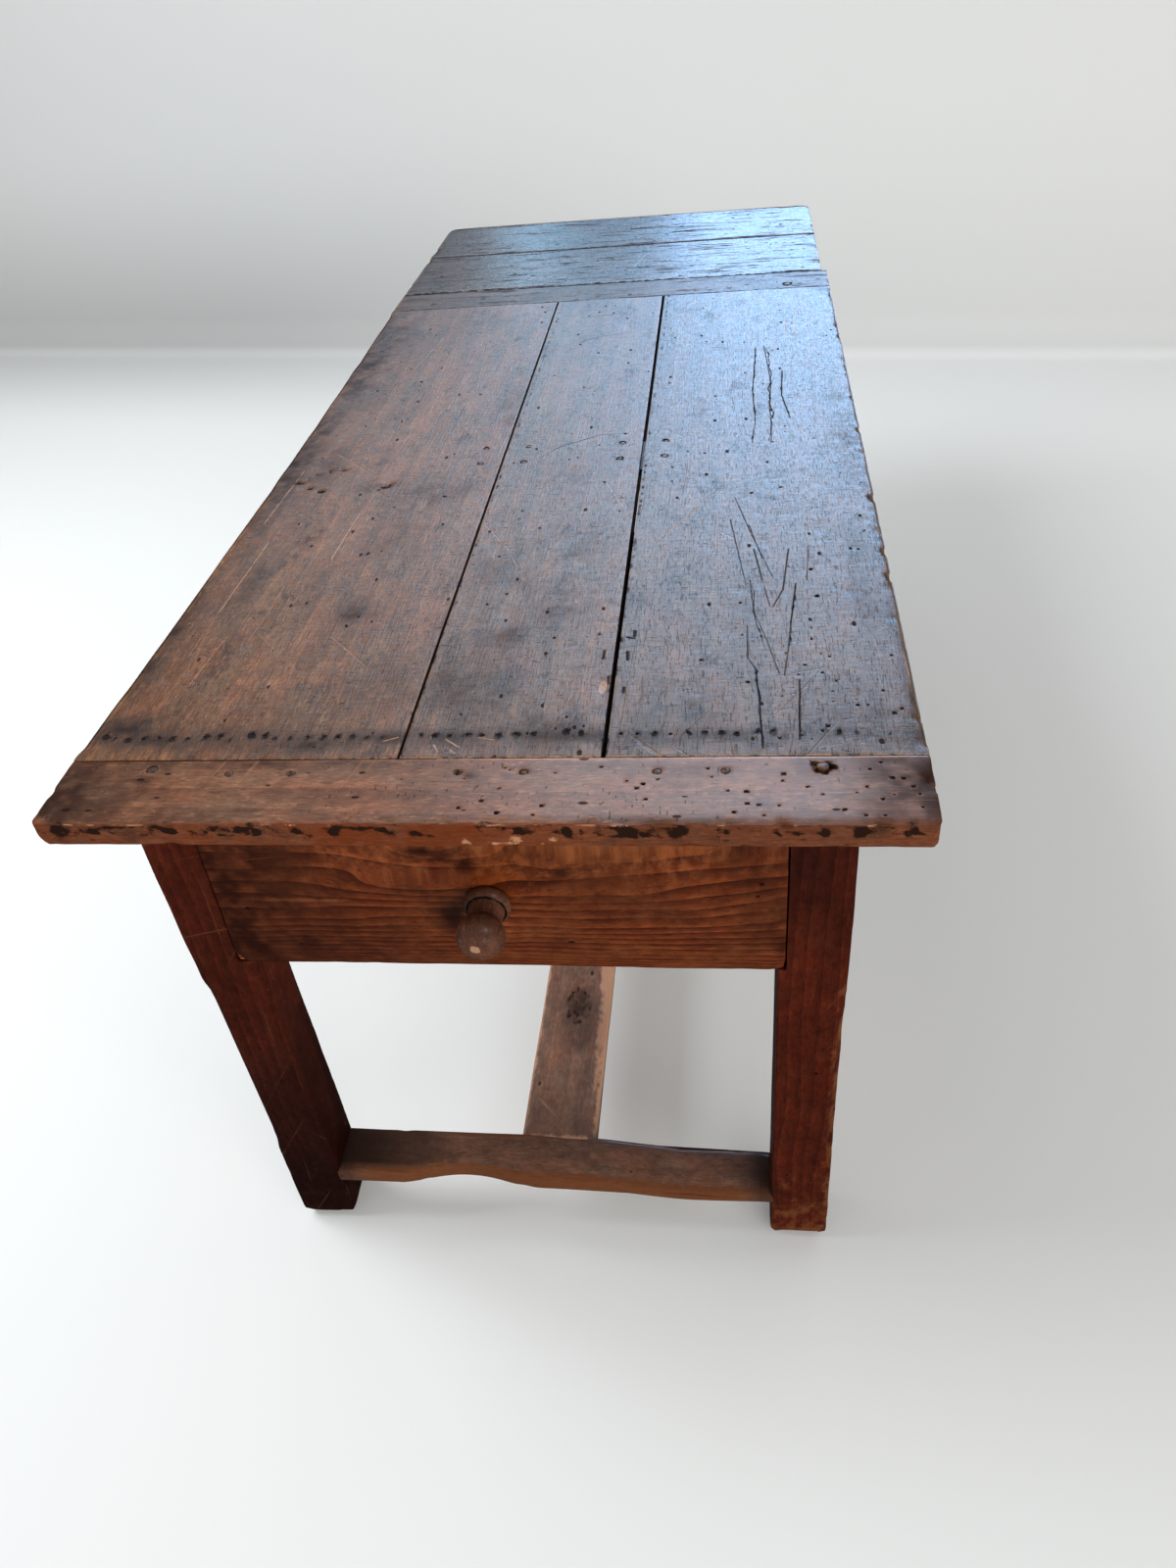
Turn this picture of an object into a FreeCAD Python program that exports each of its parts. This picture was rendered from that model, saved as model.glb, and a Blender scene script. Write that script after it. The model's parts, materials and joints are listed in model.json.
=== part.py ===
"""An old farmhouse table: plank top with breadboard ends, a deep end drawer and a pull-out end leaf.

Millimetres, +Z up. The origin is on the floor under the middle of the whole table, +Y runs from the
drawer end to the leaf end and +X is to the right of someone who faces the drawer.
"""
import FreeCAD, Part
import math
import os

os.makedirs("parts", exist_ok=True)
V = FreeCAD.Vector

# Driving dimensions of the table
table_height = 748.0
top_width = 800.0
top_thick = 27.0
main_length = 1532.0
leaf_length = 485.0
end_overhang = 53.0
side_overhang = 57.5

# The top's boards
breadboard_near_depth = 92.0
breadboard_far_depth = 96.0
corner_radius = 9.0
leaf_corner_radius = 28.0
arris_bevel = 3.0
edge_wear = 6.0
seam_left = (-78.0, -87.0)
seam_right = (113.0, 105.0)
seam_left_gap = 2.0
seam_right_gap = 3.5
end_gap = 0.8
tongue_thick = 9.0
tongue_length = 22.0
tongue_setback = 30.0
tenon_length = 62.0
tenon_width = 100.0
tenon_places = {"plank_left": -205.0, "plank_middle": 13.0, "plank_right": 193.0}
loose_tenon_width = 104.0
loose_tenon_length = 90.0

# Pegs and nails
peg_size = 9.0
top_peg_size = 12.0
top_peg_depth = 45.0
top_peg_near_insets = (29.0, 35.0)
top_peg_near_from_edge = 79.0
top_peg_far_inset = 16.0
top_peg_far_from_face = 15.0
tenon_peg_spacing = 60.0
tenon_peg_inset = 20.0
loose_peg_across = 30.0
loose_peg_along = 25.0
nail_head_share = 2.6
nail_head_thick_share = 0.75
leaf_nail_size = 4.0
leaf_nail_hold = 17.0
leaf_nail_inset = 60.0
leaf_nail_end_inset = 80.0
drawer_nail_size = 2.5
drawer_nail_length = 42.0
drawer_nail_spacing = 105.0

# Legs and aprons
leg_width = 71.0
leg_depth = 67.0
leg_chamfer = 10.0
chamfer_run_out = 34.0
chamfer_bottom = 132.0
chamfer_top = 494.0
foot_bevel = 8.0
apron_height = 208.0
apron_thick = 25.0
apron_recess = 5.0
apron_tenon_length = 40.0
apron_tenon_thick = 10.0
apron_tenon_height = 70.0
apron_tenon_margin = 22.0
apron_tenon_cheek = 7.0
apron_peg_inset = 18.0
apron_peg_length = 50.0

# Rails and runners inside the frame
rail_thick = 25.0
middle_rail_y = 132.0
middle_rail_housing = 12.0
near_rail_thick = 22.0
near_rail_depth = 42.0
near_rail_tail = 28.0
near_rail_shoulder = 8.0
near_rail_flare = 5.0
runner_lift = 3.0
runner_shelf = 65.0
runner_thick = 16.0
runner_guide = 24.0
runner_stub = 10.0
runner_stub_cheek = 4.0
runner_stub_shoulder = 8.0

# Stretchers
stretcher_depth = 65.0
stretcher_top = 113.0
stretcher_bottom = 84.0
stretcher_worn_top = 97.0
stretcher_worn_bottom = 74.0
stretcher_wear_x = (40.0, 110.0, 185.0)
stretcher_wear_shares = (0.0, 0.5, 1.0)
stretcher_hollow = 16.0
hollow_shares = ((-195, 0), (-150, 0.62), (-112, 1.0), (-80, 0.9), (-45, 0.4), (-5, 0))
stretcher_tenon_length = 42.0
stretcher_tenon_thick = 24.0
stretcher_tenon_shoulder = 4.5
stretcher_peg_inset = 16.0
stretcher_peg_length = 58.0
long_stretcher_width = 99.0
long_stretcher_shift = 3.5
long_stretcher_bevel = 15.0
long_stretcher_bevel_drop = 9.0
long_tenon_width = 60.0
long_tenon_thick = 12.0
long_tenon_length = 35.0
long_tenon_lift = 8.0

# Drawer
front_left = -289.0
front_right = 280.0
front_thick = 22.0
front_proud = 2.0
front_bottom = 508.5
front_gap = 1.5
drawer_length = 606.0
drawer_side_thick = 14.0
drawer_side_top = 694.0
drawer_side_gap = 2.0
drawer_back_thick = 12.0
drawer_back_top = 680.0
drawer_bottom_thick = 9.0
drawer_bottom_lift = 8.0
drawer_groove = 6.0
drawer_front_groove = 8.0
tail_count = 3
tail_share = 0.6
tail_flare = 4.0
front_tail_length = 13.0
slide_gap = 0.5
overshoot = 1.0

# Turned knob; its lengths are from the drawer front
knob_x = -6.0
knob_z = 603.0
knob_length = 66.0
knob_foot_radius = 21.5
knob_collar_radius = 23.5
knob_collar_at = 6.0
knob_collar_length = 13.0
knob_collar_edge_radius = 20.0
knob_step_radius = 18.0
knob_neck_radius = 16.5
knob_neck_at = 25.0
knob_ball_start = 30.0
knob_ball_at = 46.0
knob_ball_radius = 23.7
knob_ball_back = 22.0
knob_ball_rings = 4
knob_tenon_radius = 8.0
knob_tenon_past = 4.0
wedge_width = 10.0
wedge_length = 16.0
wedge_thick = 3.0
wedge_tip_thick = 0.8
knob_bore_gap = 0.1

# Arms of the leaf
arm_x = 190.0
arm_width = 44.0
arm_height = 41.0
arm_relief = 1.0
arm_inner_end = -280.0
arm_outer_inset = 40.0
arm_nose_radius = 26.0
arm_notch_gap = 1.0
leaf_travel = 360.0
stop_peg_size = 12.0
stop_peg_drop = 14.0
stop_peg_gap = 1.0
leaf_inset_right = 8.0
leaf_gap = 1.5
leaf_first_board = 257.0

# Places along the table, from the drawer end to the leaf end
front_face_offset = end_overhang - front_proud
knob_past_edge = knob_length - front_face_offset
near_edge = (knob_past_edge - main_length - leaf_length) / 2
main_end = near_edge + main_length
leaf_end = main_end + leaf_length
seam_near_y = near_edge + breadboard_near_depth
seam_far_y = main_end - breadboard_far_depth
leaf_seam_y = main_end + leaf_first_board
leg_near_y = near_edge + end_overhang
leg_far_y = main_end - end_overhang - leg_depth

# Places across the table and up it
half_width = top_width / 2
leg_outer = half_width - side_overhang
leg_inner = leg_outer - leg_width
top_under = table_height - top_thick
tongue_z = top_under + (top_thick - tongue_thick) / 2
apron_outer = leg_outer - apron_recess
apron_inner = apron_outer - apron_thick
apron_bottom = top_under - apron_height
side_outer = leg_inner - drawer_side_gap
side_inner = side_outer - drawer_side_thick
runner_bottom = apron_bottom + runner_lift
runner_top = runner_bottom + runner_thick
drawer_side_bottom = runner_top + slide_gap
front_face = leg_near_y - front_proud
front_back = front_face + front_thick
drawer_end = front_face + drawer_length
arm_bottom = top_under - arm_height


def box(x, y, z):
    """A block from three (low, high) pairs."""
    return Part.makeBox(x[1] - x[0], y[1] - y[0], z[1] - z[0], V(x[0], y[0], z[0]))


def extrude(edges, direction):
    """A closed outline pushed along a direction."""
    return Part.Face(Part.Wire(edges)).extrude(V(*direction))


def outline_face(points):
    """A flat face inside a polygon."""
    return Part.Face(Part.makePolygon([V(*p) for p in points] + [V(*points[0])]))


def prism(points, direction):
    """A polygon pushed along a direction."""
    return outline_face(points).extrude(V(*direction))


def mirrored(shape):
    """The same piece on the other side of the table."""
    return shape.mirror(V(0, 0, 0), V(1, 0, 0))


def peg(start, direction, length, size):
    """A riven eight-sided peg from a point along an axis."""
    axis = V(*direction)
    side = V(0, 0, 1).cross(axis) if abs(axis.z) < 0.5 else V(1, 0, 0)
    across = axis.cross(side)
    radius = size / 2 / math.cos(math.pi / 8)
    angles = [(2 * k + 1) * math.pi / 8 for k in range(8)]
    corners = [V(*start) + (side * math.cos(a) + across * math.sin(a)) * radius for a in angles]
    return prism(corners, axis * length)


def nail(start, length, size):
    """A forged nail that points up: a square head and a square shank."""
    x, y, z = start
    head_half = size * nail_head_share / 2
    shank_z = z + size * nail_head_thick_share
    head = box((x - head_half, x + head_half), (y - head_half, y + head_half), (z, shank_z))
    shank = box((x - size / 2, x + size / 2), (y - size / 2, y + size / 2), (shank_z, z + length))
    return head.fuse(shank).removeSplitter()


def cut_by(shape, others):
    """A piece with room cut in it for the pieces that enter it."""
    for other in others:
        shape = shape.cut(other)
    return shape.removeSplitter()


def save(name, *solids):
    """One STEP file for a piece, or for a group of like pieces."""
    shape = solids[0] if len(solids) == 1 else Part.makeCompound(list(solids))
    shape.exportStep("parts/" + name + ".step")


def arc_corner(centre, radius, start_deg):
    """A quarter circle in the plane of the top, turning left from an angle."""
    points = [start_deg + turn for turn in (0, 45, 90)]
    on = [V(centre[0] + radius * math.cos(math.radians(a)), centre[1] + radius * math.sin(math.radians(a)),
            top_under) for a in points]
    return Part.Arc(*on).toShape()


def outer_edges(board, test):
    """The top and bottom edges of a board that pass a test on their middle point."""
    found = []
    for edge in board.Edges:
        ends = [edge.valueAt(edge.FirstParameter), edge.valueAt(edge.LastParameter)]
        middle = edge.valueAt((edge.FirstParameter + edge.LastParameter) / 2)
        level = abs(ends[0].z - ends[1].z) < 0.01
        if level and test(middle):
            found.append(edge)
    return found


def end_board(x, y_joint, y_outer, radius):
    """A crosswise end board with two rounded outer corners and eased outer arrises."""
    low, high = x
    if y_outer < y_joint:
        inner_y = y_outer + radius
        first, second = low, high
        arcs = [arc_corner((low + radius, inner_y), radius, 180),
                arc_corner((high - radius, inner_y), radius, 270)]
    else:
        inner_y = y_outer - radius
        first, second = high, low
        arcs = [arc_corner((high - radius, inner_y), radius, 0),
                arc_corner((low + radius, inner_y), radius, 90)]
    joint = [V(first, y_joint, top_under), V(second, y_joint, top_under)]
    edges = [Part.makeLine(joint[0], arcs[0].Vertexes[0].Point), arcs[0],
             Part.makeLine(arcs[0].Vertexes[-1].Point, arcs[1].Vertexes[0].Point), arcs[1],
             Part.makeLine(arcs[1].Vertexes[-1].Point, joint[1]),
             Part.makeLine(joint[1], joint[0])]
    board = extrude(edges, (0, 0, top_thick))
    return board.makeChamfer(arris_bevel, outer_edges(board, lambda p: abs(p.y - y_joint) > 1))


def plank(left, right, bow=0.0):
    """A lengthwise plank between two edges, each given as its X at the near and the far end."""
    near = seam_near_y + end_gap
    far = seam_far_y - end_gap
    z = top_under
    corners = [V(left[0], near, z), V(right[0], near, z), V(right[1], far, z), V(left[1], far, z)]
    sides = [Part.makeLine(corners[0], corners[1]), Part.makeLine(corners[1], corners[2]),
             Part.makeLine(corners[2], corners[3])]
    if bow:
        middle = V((left[0] + left[1]) / 2 + bow, (near + far) / 2, z)
        sides.append(Part.Arc(corners[3], middle, corners[0]).toShape())
    else:
        sides.append(Part.makeLine(corners[3], corners[0]))
    board = extrude(sides, (0, 0, top_thick))
    rim = outer_edges(board, lambda p: abs(p.x) > half_width - edge_wear - 1)
    return board.makeChamfer(arris_bevel, rim) if rim else board


def plank_tenons(left, right, tenon_x):
    """The tongue and the longer tenon at both ends of a plank."""
    made = []
    for near_end, y, away in ((0, seam_near_y + end_gap, -1), (1, seam_far_y - end_gap, 1)):
        low = max(left[near_end], -half_width + tongue_setback)
        high = min(right[near_end], half_width - tongue_setback)
        z = (tongue_z, tongue_z + tongue_thick)
        made.append(box((low, high), sorted((y, y + away * tongue_length)), z))
        tenon = (tenon_x - tenon_width / 2, tenon_x + tenon_width / 2)
        made.append(box(tenon, sorted((y, y + away * tenon_length)), z))
    return made


def leg(side, near):
    """A square leg with stop-chamfered arrises and a bevelled foot, before its mortises."""
    x = (leg_inner, leg_outer) if side > 0 else (-leg_outer, -leg_inner)
    y_low = leg_near_y if near else leg_far_y
    y = (y_low, y_low + leg_depth)
    post = box(x, y, (0, top_under))
    post = post.makeChamfer(foot_bevel, [e for e in post.Edges if e.BoundBox.ZMax < 0.01])
    depth = leg_chamfer / math.sqrt(2)
    for corner_x, to_x in ((x[0], 1), (x[1], -1)):
        for corner_y, to_y in ((y[0], 1), (y[1], -1)):
            inward = V(to_x, to_y, 0).normalize()
            across = V(-to_y, to_x, 0).normalize() * leg_width
            corner = V(corner_x, corner_y, 0) - across * 0.5
            cuts = [(chamfer_bottom, 0), (chamfer_bottom + chamfer_run_out, depth),
                    (chamfer_top - chamfer_run_out, depth), (chamfer_top, 0),
                    (chamfer_top, -depth), (chamfer_bottom, -depth)]
            profile = [corner + V(0, 0, z) + inward * into for z, into in cuts]
            post = post.cut(prism(profile, across))
    return post


def apron_tenons(x, y):
    """An upper and a lower tenon at the end of an apron."""
    made = []
    rise = apron_height - 2 * apron_tenon_margin - apron_tenon_height
    for step in (0, 1):
        z = apron_bottom + apron_tenon_margin + step * rise
        made.append(box(x, y, (z, z + apron_tenon_height)))
    return made


def fused(body, parts):
    """A piece with its tenons."""
    for part in parts:
        body = body.fuse(part)
    return body.removeSplitter()


def dovetail_tails(y_root, y_tip, x):
    """A row of tails at the end of a drawer side, wider at the tip than at the root."""
    pitch = (drawer_side_top - drawer_side_bottom) / tail_count
    tails = []
    for k in range(tail_count):
        middle = drawer_side_bottom + (k + 0.5) * pitch
        root = pitch * tail_share / 2
        tip = root + tail_flare
        profile = [(x[0], y_root, middle - root), (x[0], y_tip, middle - tip),
                   (x[0], y_tip, middle + tip), (x[0], y_root, middle + root)]
        tails.append(prism(profile, (x[1] - x[0], 0, 0)))
    return tails


def knob_profile():
    """Half of the knob's outline in the plane X = knob_x: collar, step, neck and an oval ball."""
    turned = [(0, knob_tenon_radius), (0, knob_foot_radius), (knob_collar_at, knob_collar_radius),
              (knob_collar_length, knob_collar_edge_radius), (knob_collar_length, knob_step_radius),
              (knob_neck_at, knob_neck_radius)]
    first = math.acos((knob_ball_at - knob_ball_start) / knob_ball_back)
    for k in range(knob_ball_rings + 1):
        angle = first + (math.pi - first) * k / knob_ball_rings
        half = knob_ball_back if angle < math.pi / 2 else knob_length - knob_ball_at
        turned.append((knob_ball_at - half * math.cos(angle), knob_ball_radius * math.sin(angle)))
    turned[-1] = (knob_length, 0)
    inside = -(front_thick + knob_tenon_past)
    turned += [(inside, 0), (inside, knob_tenon_radius)]
    return [(knob_x, front_face - out, knob_z + radius) for out, radius in turned]


# The boards of the top
left_edges = ((-half_width, -half_width), tuple(x - seam_left_gap / 2 for x in seam_left))
middle_edges = (tuple(x + seam_left_gap / 2 for x in seam_left),
                tuple(x - seam_right_gap / 2 for x in seam_right))
right_edges = (tuple(x + seam_right_gap / 2 for x in seam_right), (half_width, half_width))
board_edges = {"plank_left": left_edges, "plank_middle": middle_edges, "plank_right": right_edges}
planks = {}
for name, (left, right) in board_edges.items():
    blank = plank(left, right, edge_wear if name == "plank_left" else 0.0)
    planks[name] = fused(blank, plank_tenons(left, right, tenon_places[name]))

top_x = (-half_width, half_width)
top_z = (top_under, table_height)
breadboards = {"breadboard_near": end_board(top_x, seam_near_y, near_edge, corner_radius),
               "breadboard_far": box(top_x, (seam_far_y, main_end), top_z)}
breadboards = {name: cut_by(board, planks.values()) for name, board in breadboards.items()}

# Loose tenons across the two long seams, at the middle of the top, each held by two pegs a side
middle_y = (near_edge + main_end) / 2
loose_tenons = []
plank_pegs = []
for seam in (seam_left, seam_right):
    seam_x = sum(seam) / 2
    half = loose_tenon_width / 2
    loose_tenons.append(box((seam_x - half, seam_x + half),
                            (middle_y - loose_tenon_length / 2, middle_y + loose_tenon_length / 2),
                            (tongue_z, tongue_z + tongue_thick)))
    for across in (-loose_peg_across, loose_peg_across):
        for along in (-loose_peg_along, loose_peg_along):
            start = (seam_x + across, middle_y + along, top_under)
            plank_pegs.append(peg(start, (0, 0, 1), top_thick, peg_size))

# Pegs through the breadboards' tenons, and pegs that hold the top to the four legs
breadboard_pegs = []
for tenon_x in tenon_places.values():
    for peg_y in (seam_near_y - tenon_peg_inset, seam_far_y + tenon_peg_inset):
        for across in (-tenon_peg_spacing / 2, tenon_peg_spacing / 2):
            start = (tenon_x + across, peg_y, top_under)
            breadboard_pegs.append(peg(start, (0, 0, 1), top_thick, peg_size))
top_pegs = []
near_peg_y = near_edge + top_peg_near_from_edge
far_peg_y = leg_far_y + leg_depth - top_peg_far_from_face
far_peg_x = leg_outer - top_peg_far_inset
for peg_x, peg_y in ((-leg_outer + top_peg_near_insets[0], near_peg_y), (-far_peg_x, far_peg_y),
                     (leg_outer - top_peg_near_insets[1], near_peg_y), (far_peg_x, far_peg_y)):
    start = (peg_x, peg_y, top_under - top_peg_depth)
    top_pegs.append(peg(start, (0, 0, 1), top_thick + top_peg_depth, top_peg_size))

loose_tenons = [cut_by(tenon, plank_pegs) for tenon in loose_tenons]
through_planks = loose_tenons + plank_pegs + breadboard_pegs + top_pegs
planks = {name: cut_by(board, through_planks) for name, board in planks.items()}
breadboards = {name: cut_by(board, breadboard_pegs + top_pegs) for name, board in breadboards.items()}

# Side aprons, tenoned into the legs
apron_y = (leg_near_y + leg_depth, leg_far_y)
apron_z = (apron_bottom, top_under)
tenon_x = (-apron_outer + apron_tenon_cheek, -apron_outer + apron_tenon_cheek + apron_tenon_thick)
side_tenons = apron_tenons(tenon_x, (apron_y[0] - apron_tenon_length, apron_y[0]))
side_tenons += apron_tenons(tenon_x, (apron_y[1], apron_y[1] + apron_tenon_length))
apron_left = fused(box((-apron_outer, -apron_inner), apron_y, apron_z), side_tenons)
apron_right = mirrored(apron_left)

# Far apron with two notches at its top for the leaf's arms
far_y = (leg_far_y + leg_depth - apron_recess - apron_thick, leg_far_y + leg_depth - apron_recess)
far_tenon_y = (far_y[0] + apron_tenon_cheek, far_y[0] + apron_tenon_cheek + apron_tenon_thick)
far_tenons = apron_tenons((-leg_inner - apron_tenon_length, -leg_inner), far_tenon_y)
far_tenons += apron_tenons((leg_inner, leg_inner + apron_tenon_length), far_tenon_y)
notch_half = arm_width / 2 + arm_notch_gap
notch_y = (middle_rail_y - overshoot, far_y[1] + overshoot)
notch_z = (arm_bottom - slide_gap, top_under + overshoot)
notches = [box((x - notch_half, x + notch_half), notch_y, notch_z) for x in (-arm_x, arm_x)]
apron_far = cut_by(fused(box((-leg_inner, leg_inner), far_y, apron_z), far_tenons), notches)

# Middle rail, housed in the side aprons, which carries the runners and guides the arms
rail_y = (middle_rail_y, middle_rail_y + rail_thick)
middle_rail = box((-apron_inner - middle_rail_housing, apron_inner + middle_rail_housing), rail_y, apron_z)
middle_rail = cut_by(middle_rail, notches)

# Near rail behind the drawer front, dovetailed down into the tops of the near legs
near_rail_y = (leg_near_y + leg_depth - near_rail_depth, leg_near_y + leg_depth)
rail_root = (near_rail_y[0] + near_rail_shoulder, near_rail_y[1] - near_rail_shoulder)
near_rail_z = top_under - near_rail_thick
rail_end = leg_inner + near_rail_tail
tail_tip = (rail_root[0] - near_rail_flare, rail_root[1] + near_rail_flare)
right_half = [(leg_inner, near_rail_y[0]), (leg_inner, rail_root[0]), (rail_end, tail_tip[0]),
              (rail_end, tail_tip[1]), (leg_inner, rail_root[1]), (leg_inner, near_rail_y[1])]
left_half = [(-x, y) for x, y in reversed(right_half)]
near_rail = prism([(x, y, near_rail_z) for x, y in right_half + left_half], (0, 0, near_rail_thick))

# Drawer runners: an L-shaped stick along each apron, stubbed into the near leg and the middle rail
runner_y = apron_y[0]
shelf_edge = apron_inner - runner_shelf
guide_edge = leg_inner
guide_top = runner_top + runner_guide
runner_section = [(apron_inner, runner_bottom), (shelf_edge, runner_bottom), (shelf_edge, runner_top),
                  (guide_edge, runner_top), (guide_edge, guide_top), (apron_inner, guide_top)]
runner_right = prism([(x, runner_y, z) for x, z in runner_section], (0, middle_rail_y - runner_y, 0))
stub_x = (guide_edge + runner_stub_cheek, apron_inner - runner_stub_cheek)
stub_z = (runner_bottom + runner_stub_shoulder, guide_top - runner_stub_shoulder)
runner_right = fused(runner_right, [box(stub_x, (runner_y - runner_stub, runner_y), stub_z),
                                    box(stub_x, (middle_rail_y, middle_rail_y + runner_stub), stub_z)])
runner_left = mirrored(runner_right)
middle_rail = cut_by(middle_rail, [runner_left, runner_right])
apron_left = cut_by(apron_left, [middle_rail])
apron_right = cut_by(apron_right, [middle_rail])


def through(points):
    """A smooth curve through points, level along X at both ends."""
    curve = Part.BSplineCurve()
    curve.interpolate(Points=[V(*p) for p in points], InitialTangent=V(1, 0, 0), FinalTangent=V(1, 0, 0))
    return curve.toShape()


def with_curve(curve, points):
    """A closed outline: a curve, then straight lines through points and back to its start."""
    corners = [curve.Vertexes[-1].Point] + [V(*p) for p in points] + [curve.Vertexes[0].Point]
    return [curve] + [Part.makeLine(a, b) for a, b in zip(corners, corners[1:])]


def stretcher_side_view(y):
    """The near cross stretcher seen from its front: its right half is worn thin from above and below."""
    drop = stretcher_top - stretcher_worn_top
    wear = zip(stretcher_wear_x, stretcher_wear_shares)
    top = through([(x, y, stretcher_top - drop * share) for x, share in wear])
    return with_curve(top, [(leg_inner, y, stretcher_worn_top), (leg_inner, y, stretcher_worn_bottom),
                            (stretcher_wear_x[0], y, stretcher_bottom), (-leg_inner, y, stretcher_bottom),
                            (-leg_inner, y, stretcher_top)])


def stretcher_plan(y):
    """The near cross stretcher seen from above, with the hollow that feet wore into its front."""
    hollow = through([(x, y[0] + stretcher_hollow * share, 0) for x, share in hollow_shares])
    return with_curve(hollow, [(leg_inner, y[0], 0), (leg_inner, y[1], 0), (-leg_inner, y[1], 0),
                               (-leg_inner, y[0], 0)])


def cross_stretcher(y, worn):
    """The flat rail between two legs, with a tenon at each end."""
    sound_z = (stretcher_bottom, stretcher_top)
    right_z = (stretcher_worn_bottom, stretcher_worn_top) if worn else sound_z
    if worn:
        rail = extrude(stretcher_side_view(y[0]), (0, stretcher_depth, 0))
        rail = rail.common(extrude(stretcher_plan(y), (0, 0, table_height)))
    else:
        rail = box((-leg_inner, leg_inner), y, sound_z)
    middle = sum(y) / 2
    tenon_y = (middle - stretcher_tenon_thick / 2, middle + stretcher_tenon_thick / 2)
    reach = leg_inner + stretcher_tenon_length
    tenons = []
    for x, z in (((-reach, -leg_inner), sound_z), ((leg_inner, reach), right_z)):
        tenons.append(box(x, tenon_y, (z[0] + stretcher_tenon_shoulder, z[1] - stretcher_tenon_shoulder)))
    return fused(rail, tenons)


leg_far_face = leg_far_y + leg_depth
stretcher_near = cross_stretcher((leg_near_y, leg_near_y + stretcher_depth), worn=True)
stretcher_far = cross_stretcher((leg_far_face - stretcher_depth, leg_far_face), worn=False)

# Long stretcher between the two, with worn bevels along its upper edges
long_y = (leg_near_y + stretcher_depth, leg_far_face - stretcher_depth)
long_low = long_stretcher_shift - long_stretcher_width / 2
long_high = long_stretcher_shift + long_stretcher_width / 2
bevel_z = stretcher_top - long_stretcher_bevel_drop
long_section = [(long_low, stretcher_bottom), (long_high, stretcher_bottom), (long_high, bevel_z),
                (long_high - long_stretcher_bevel, stretcher_top),
                (long_low + long_stretcher_bevel, stretcher_top), (long_low, bevel_z)]
long_section = [(x, long_y[0], z) for x, z in long_section]
long_tenon_x = (long_stretcher_shift - long_tenon_width / 2, long_stretcher_shift + long_tenon_width / 2)
long_tenon_low = stretcher_bottom + long_tenon_lift
long_tenon_z = (long_tenon_low, long_tenon_low + long_tenon_thick)
long_stretcher = fused(prism(long_section, (0, long_y[1] - long_y[0], 0)),
                       [box(long_tenon_x, (long_y[0] - long_tenon_length, long_y[0]), long_tenon_z),
                        box(long_tenon_x, (long_y[1], long_y[1] + long_tenon_length), long_tenon_z)])
stretcher_near = cut_by(stretcher_near, [long_stretcher])
stretcher_far = cut_by(stretcher_far, [long_stretcher])

# Drawbore pegs: through the legs' side faces into the side aprons, and through their end faces
apron_pegs = []
stretcher_pegs = []
peg_heights = [apron_bottom + apron_tenon_margin + apron_tenon_height / 2,
               top_under - apron_tenon_margin - apron_tenon_height / 2]
for side in (-1, 1):
    for z in peg_heights:
        for peg_y in (apron_y[0] - apron_peg_inset, apron_y[1] + apron_peg_inset):
            apron_pegs.append(peg((side * leg_outer, peg_y, z), (-side, 0, 0), apron_peg_length, peg_size))
        far_start = (side * (leg_inner + apron_peg_inset), leg_far_face, z)
        apron_pegs.append(peg(far_start, (0, -1, 0), apron_peg_length, peg_size))
    for peg_y, inward in ((leg_near_y, 1), (leg_far_face, -1)):
        worn = side > 0 and inward > 0
        sound_z = (stretcher_bottom, stretcher_top)
        low, high = (stretcher_worn_bottom, stretcher_worn_top) if worn else sound_z
        start = (side * (leg_inner + stretcher_peg_inset), peg_y, (low + high) / 2)
        stretcher_pegs.append(peg(start, (0, inward, 0), stretcher_peg_length, peg_size))

apron_left, apron_right, apron_far = [cut_by(a, apron_pegs) for a in (apron_left, apron_right, apron_far)]
stretcher_near, stretcher_far = [cut_by(s, stretcher_pegs) for s in (stretcher_near, stretcher_far)]

# Drawer sides with tails at both ends and a groove for the bottom
side_z = (drawer_side_bottom, drawer_side_top)
side_x = (side_inner, side_outer)
bottom_low = drawer_side_bottom + drawer_bottom_lift
bottom_z = (bottom_low, bottom_low + drawer_bottom_thick)
bottom_half = side_inner + drawer_groove
drawer_bottom = box((-bottom_half, bottom_half), (front_back - drawer_front_groove, drawer_end), bottom_z)
back_y = drawer_end - drawer_back_thick
side_right = fused(box(side_x, (front_back, back_y), side_z),
                   dovetail_tails(front_back, front_back - front_tail_length, side_x)
                   + dovetail_tails(back_y, drawer_end, side_x))
side_right = cut_by(side_right, [drawer_bottom])
side_left = mirrored(side_right)

# Drawer back between the tails, standing on the drawer bottom
drawer_back = box((-side_outer, side_outer), (back_y, drawer_end), (bottom_z[1], drawer_back_top))
drawer_back = cut_by(drawer_back, [side_left, side_right])

# Turned knob with a tenon that passes through the drawer front and is spread by a wedge
knob_axis_start = V(knob_x, front_face, knob_z)
knob = outline_face(knob_profile()).revolve(knob_axis_start, V(0, 1, 0), 360)
wedge_tip = front_back + knob_tenon_past - wedge_length
wedge_end = front_back + knob_tenon_past
wedge_low = knob_z - wedge_width / 2
wedge_plan = [(-wedge_tip_thick / 2, wedge_tip), (wedge_tip_thick / 2, wedge_tip),
              (wedge_thick / 2, wedge_end), (-wedge_thick / 2, wedge_end)]
wedge = prism([(knob_x + x, y, wedge_low) for x, y in wedge_plan], (0, 0, wedge_width))
knob = cut_by(knob, [wedge])

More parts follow.
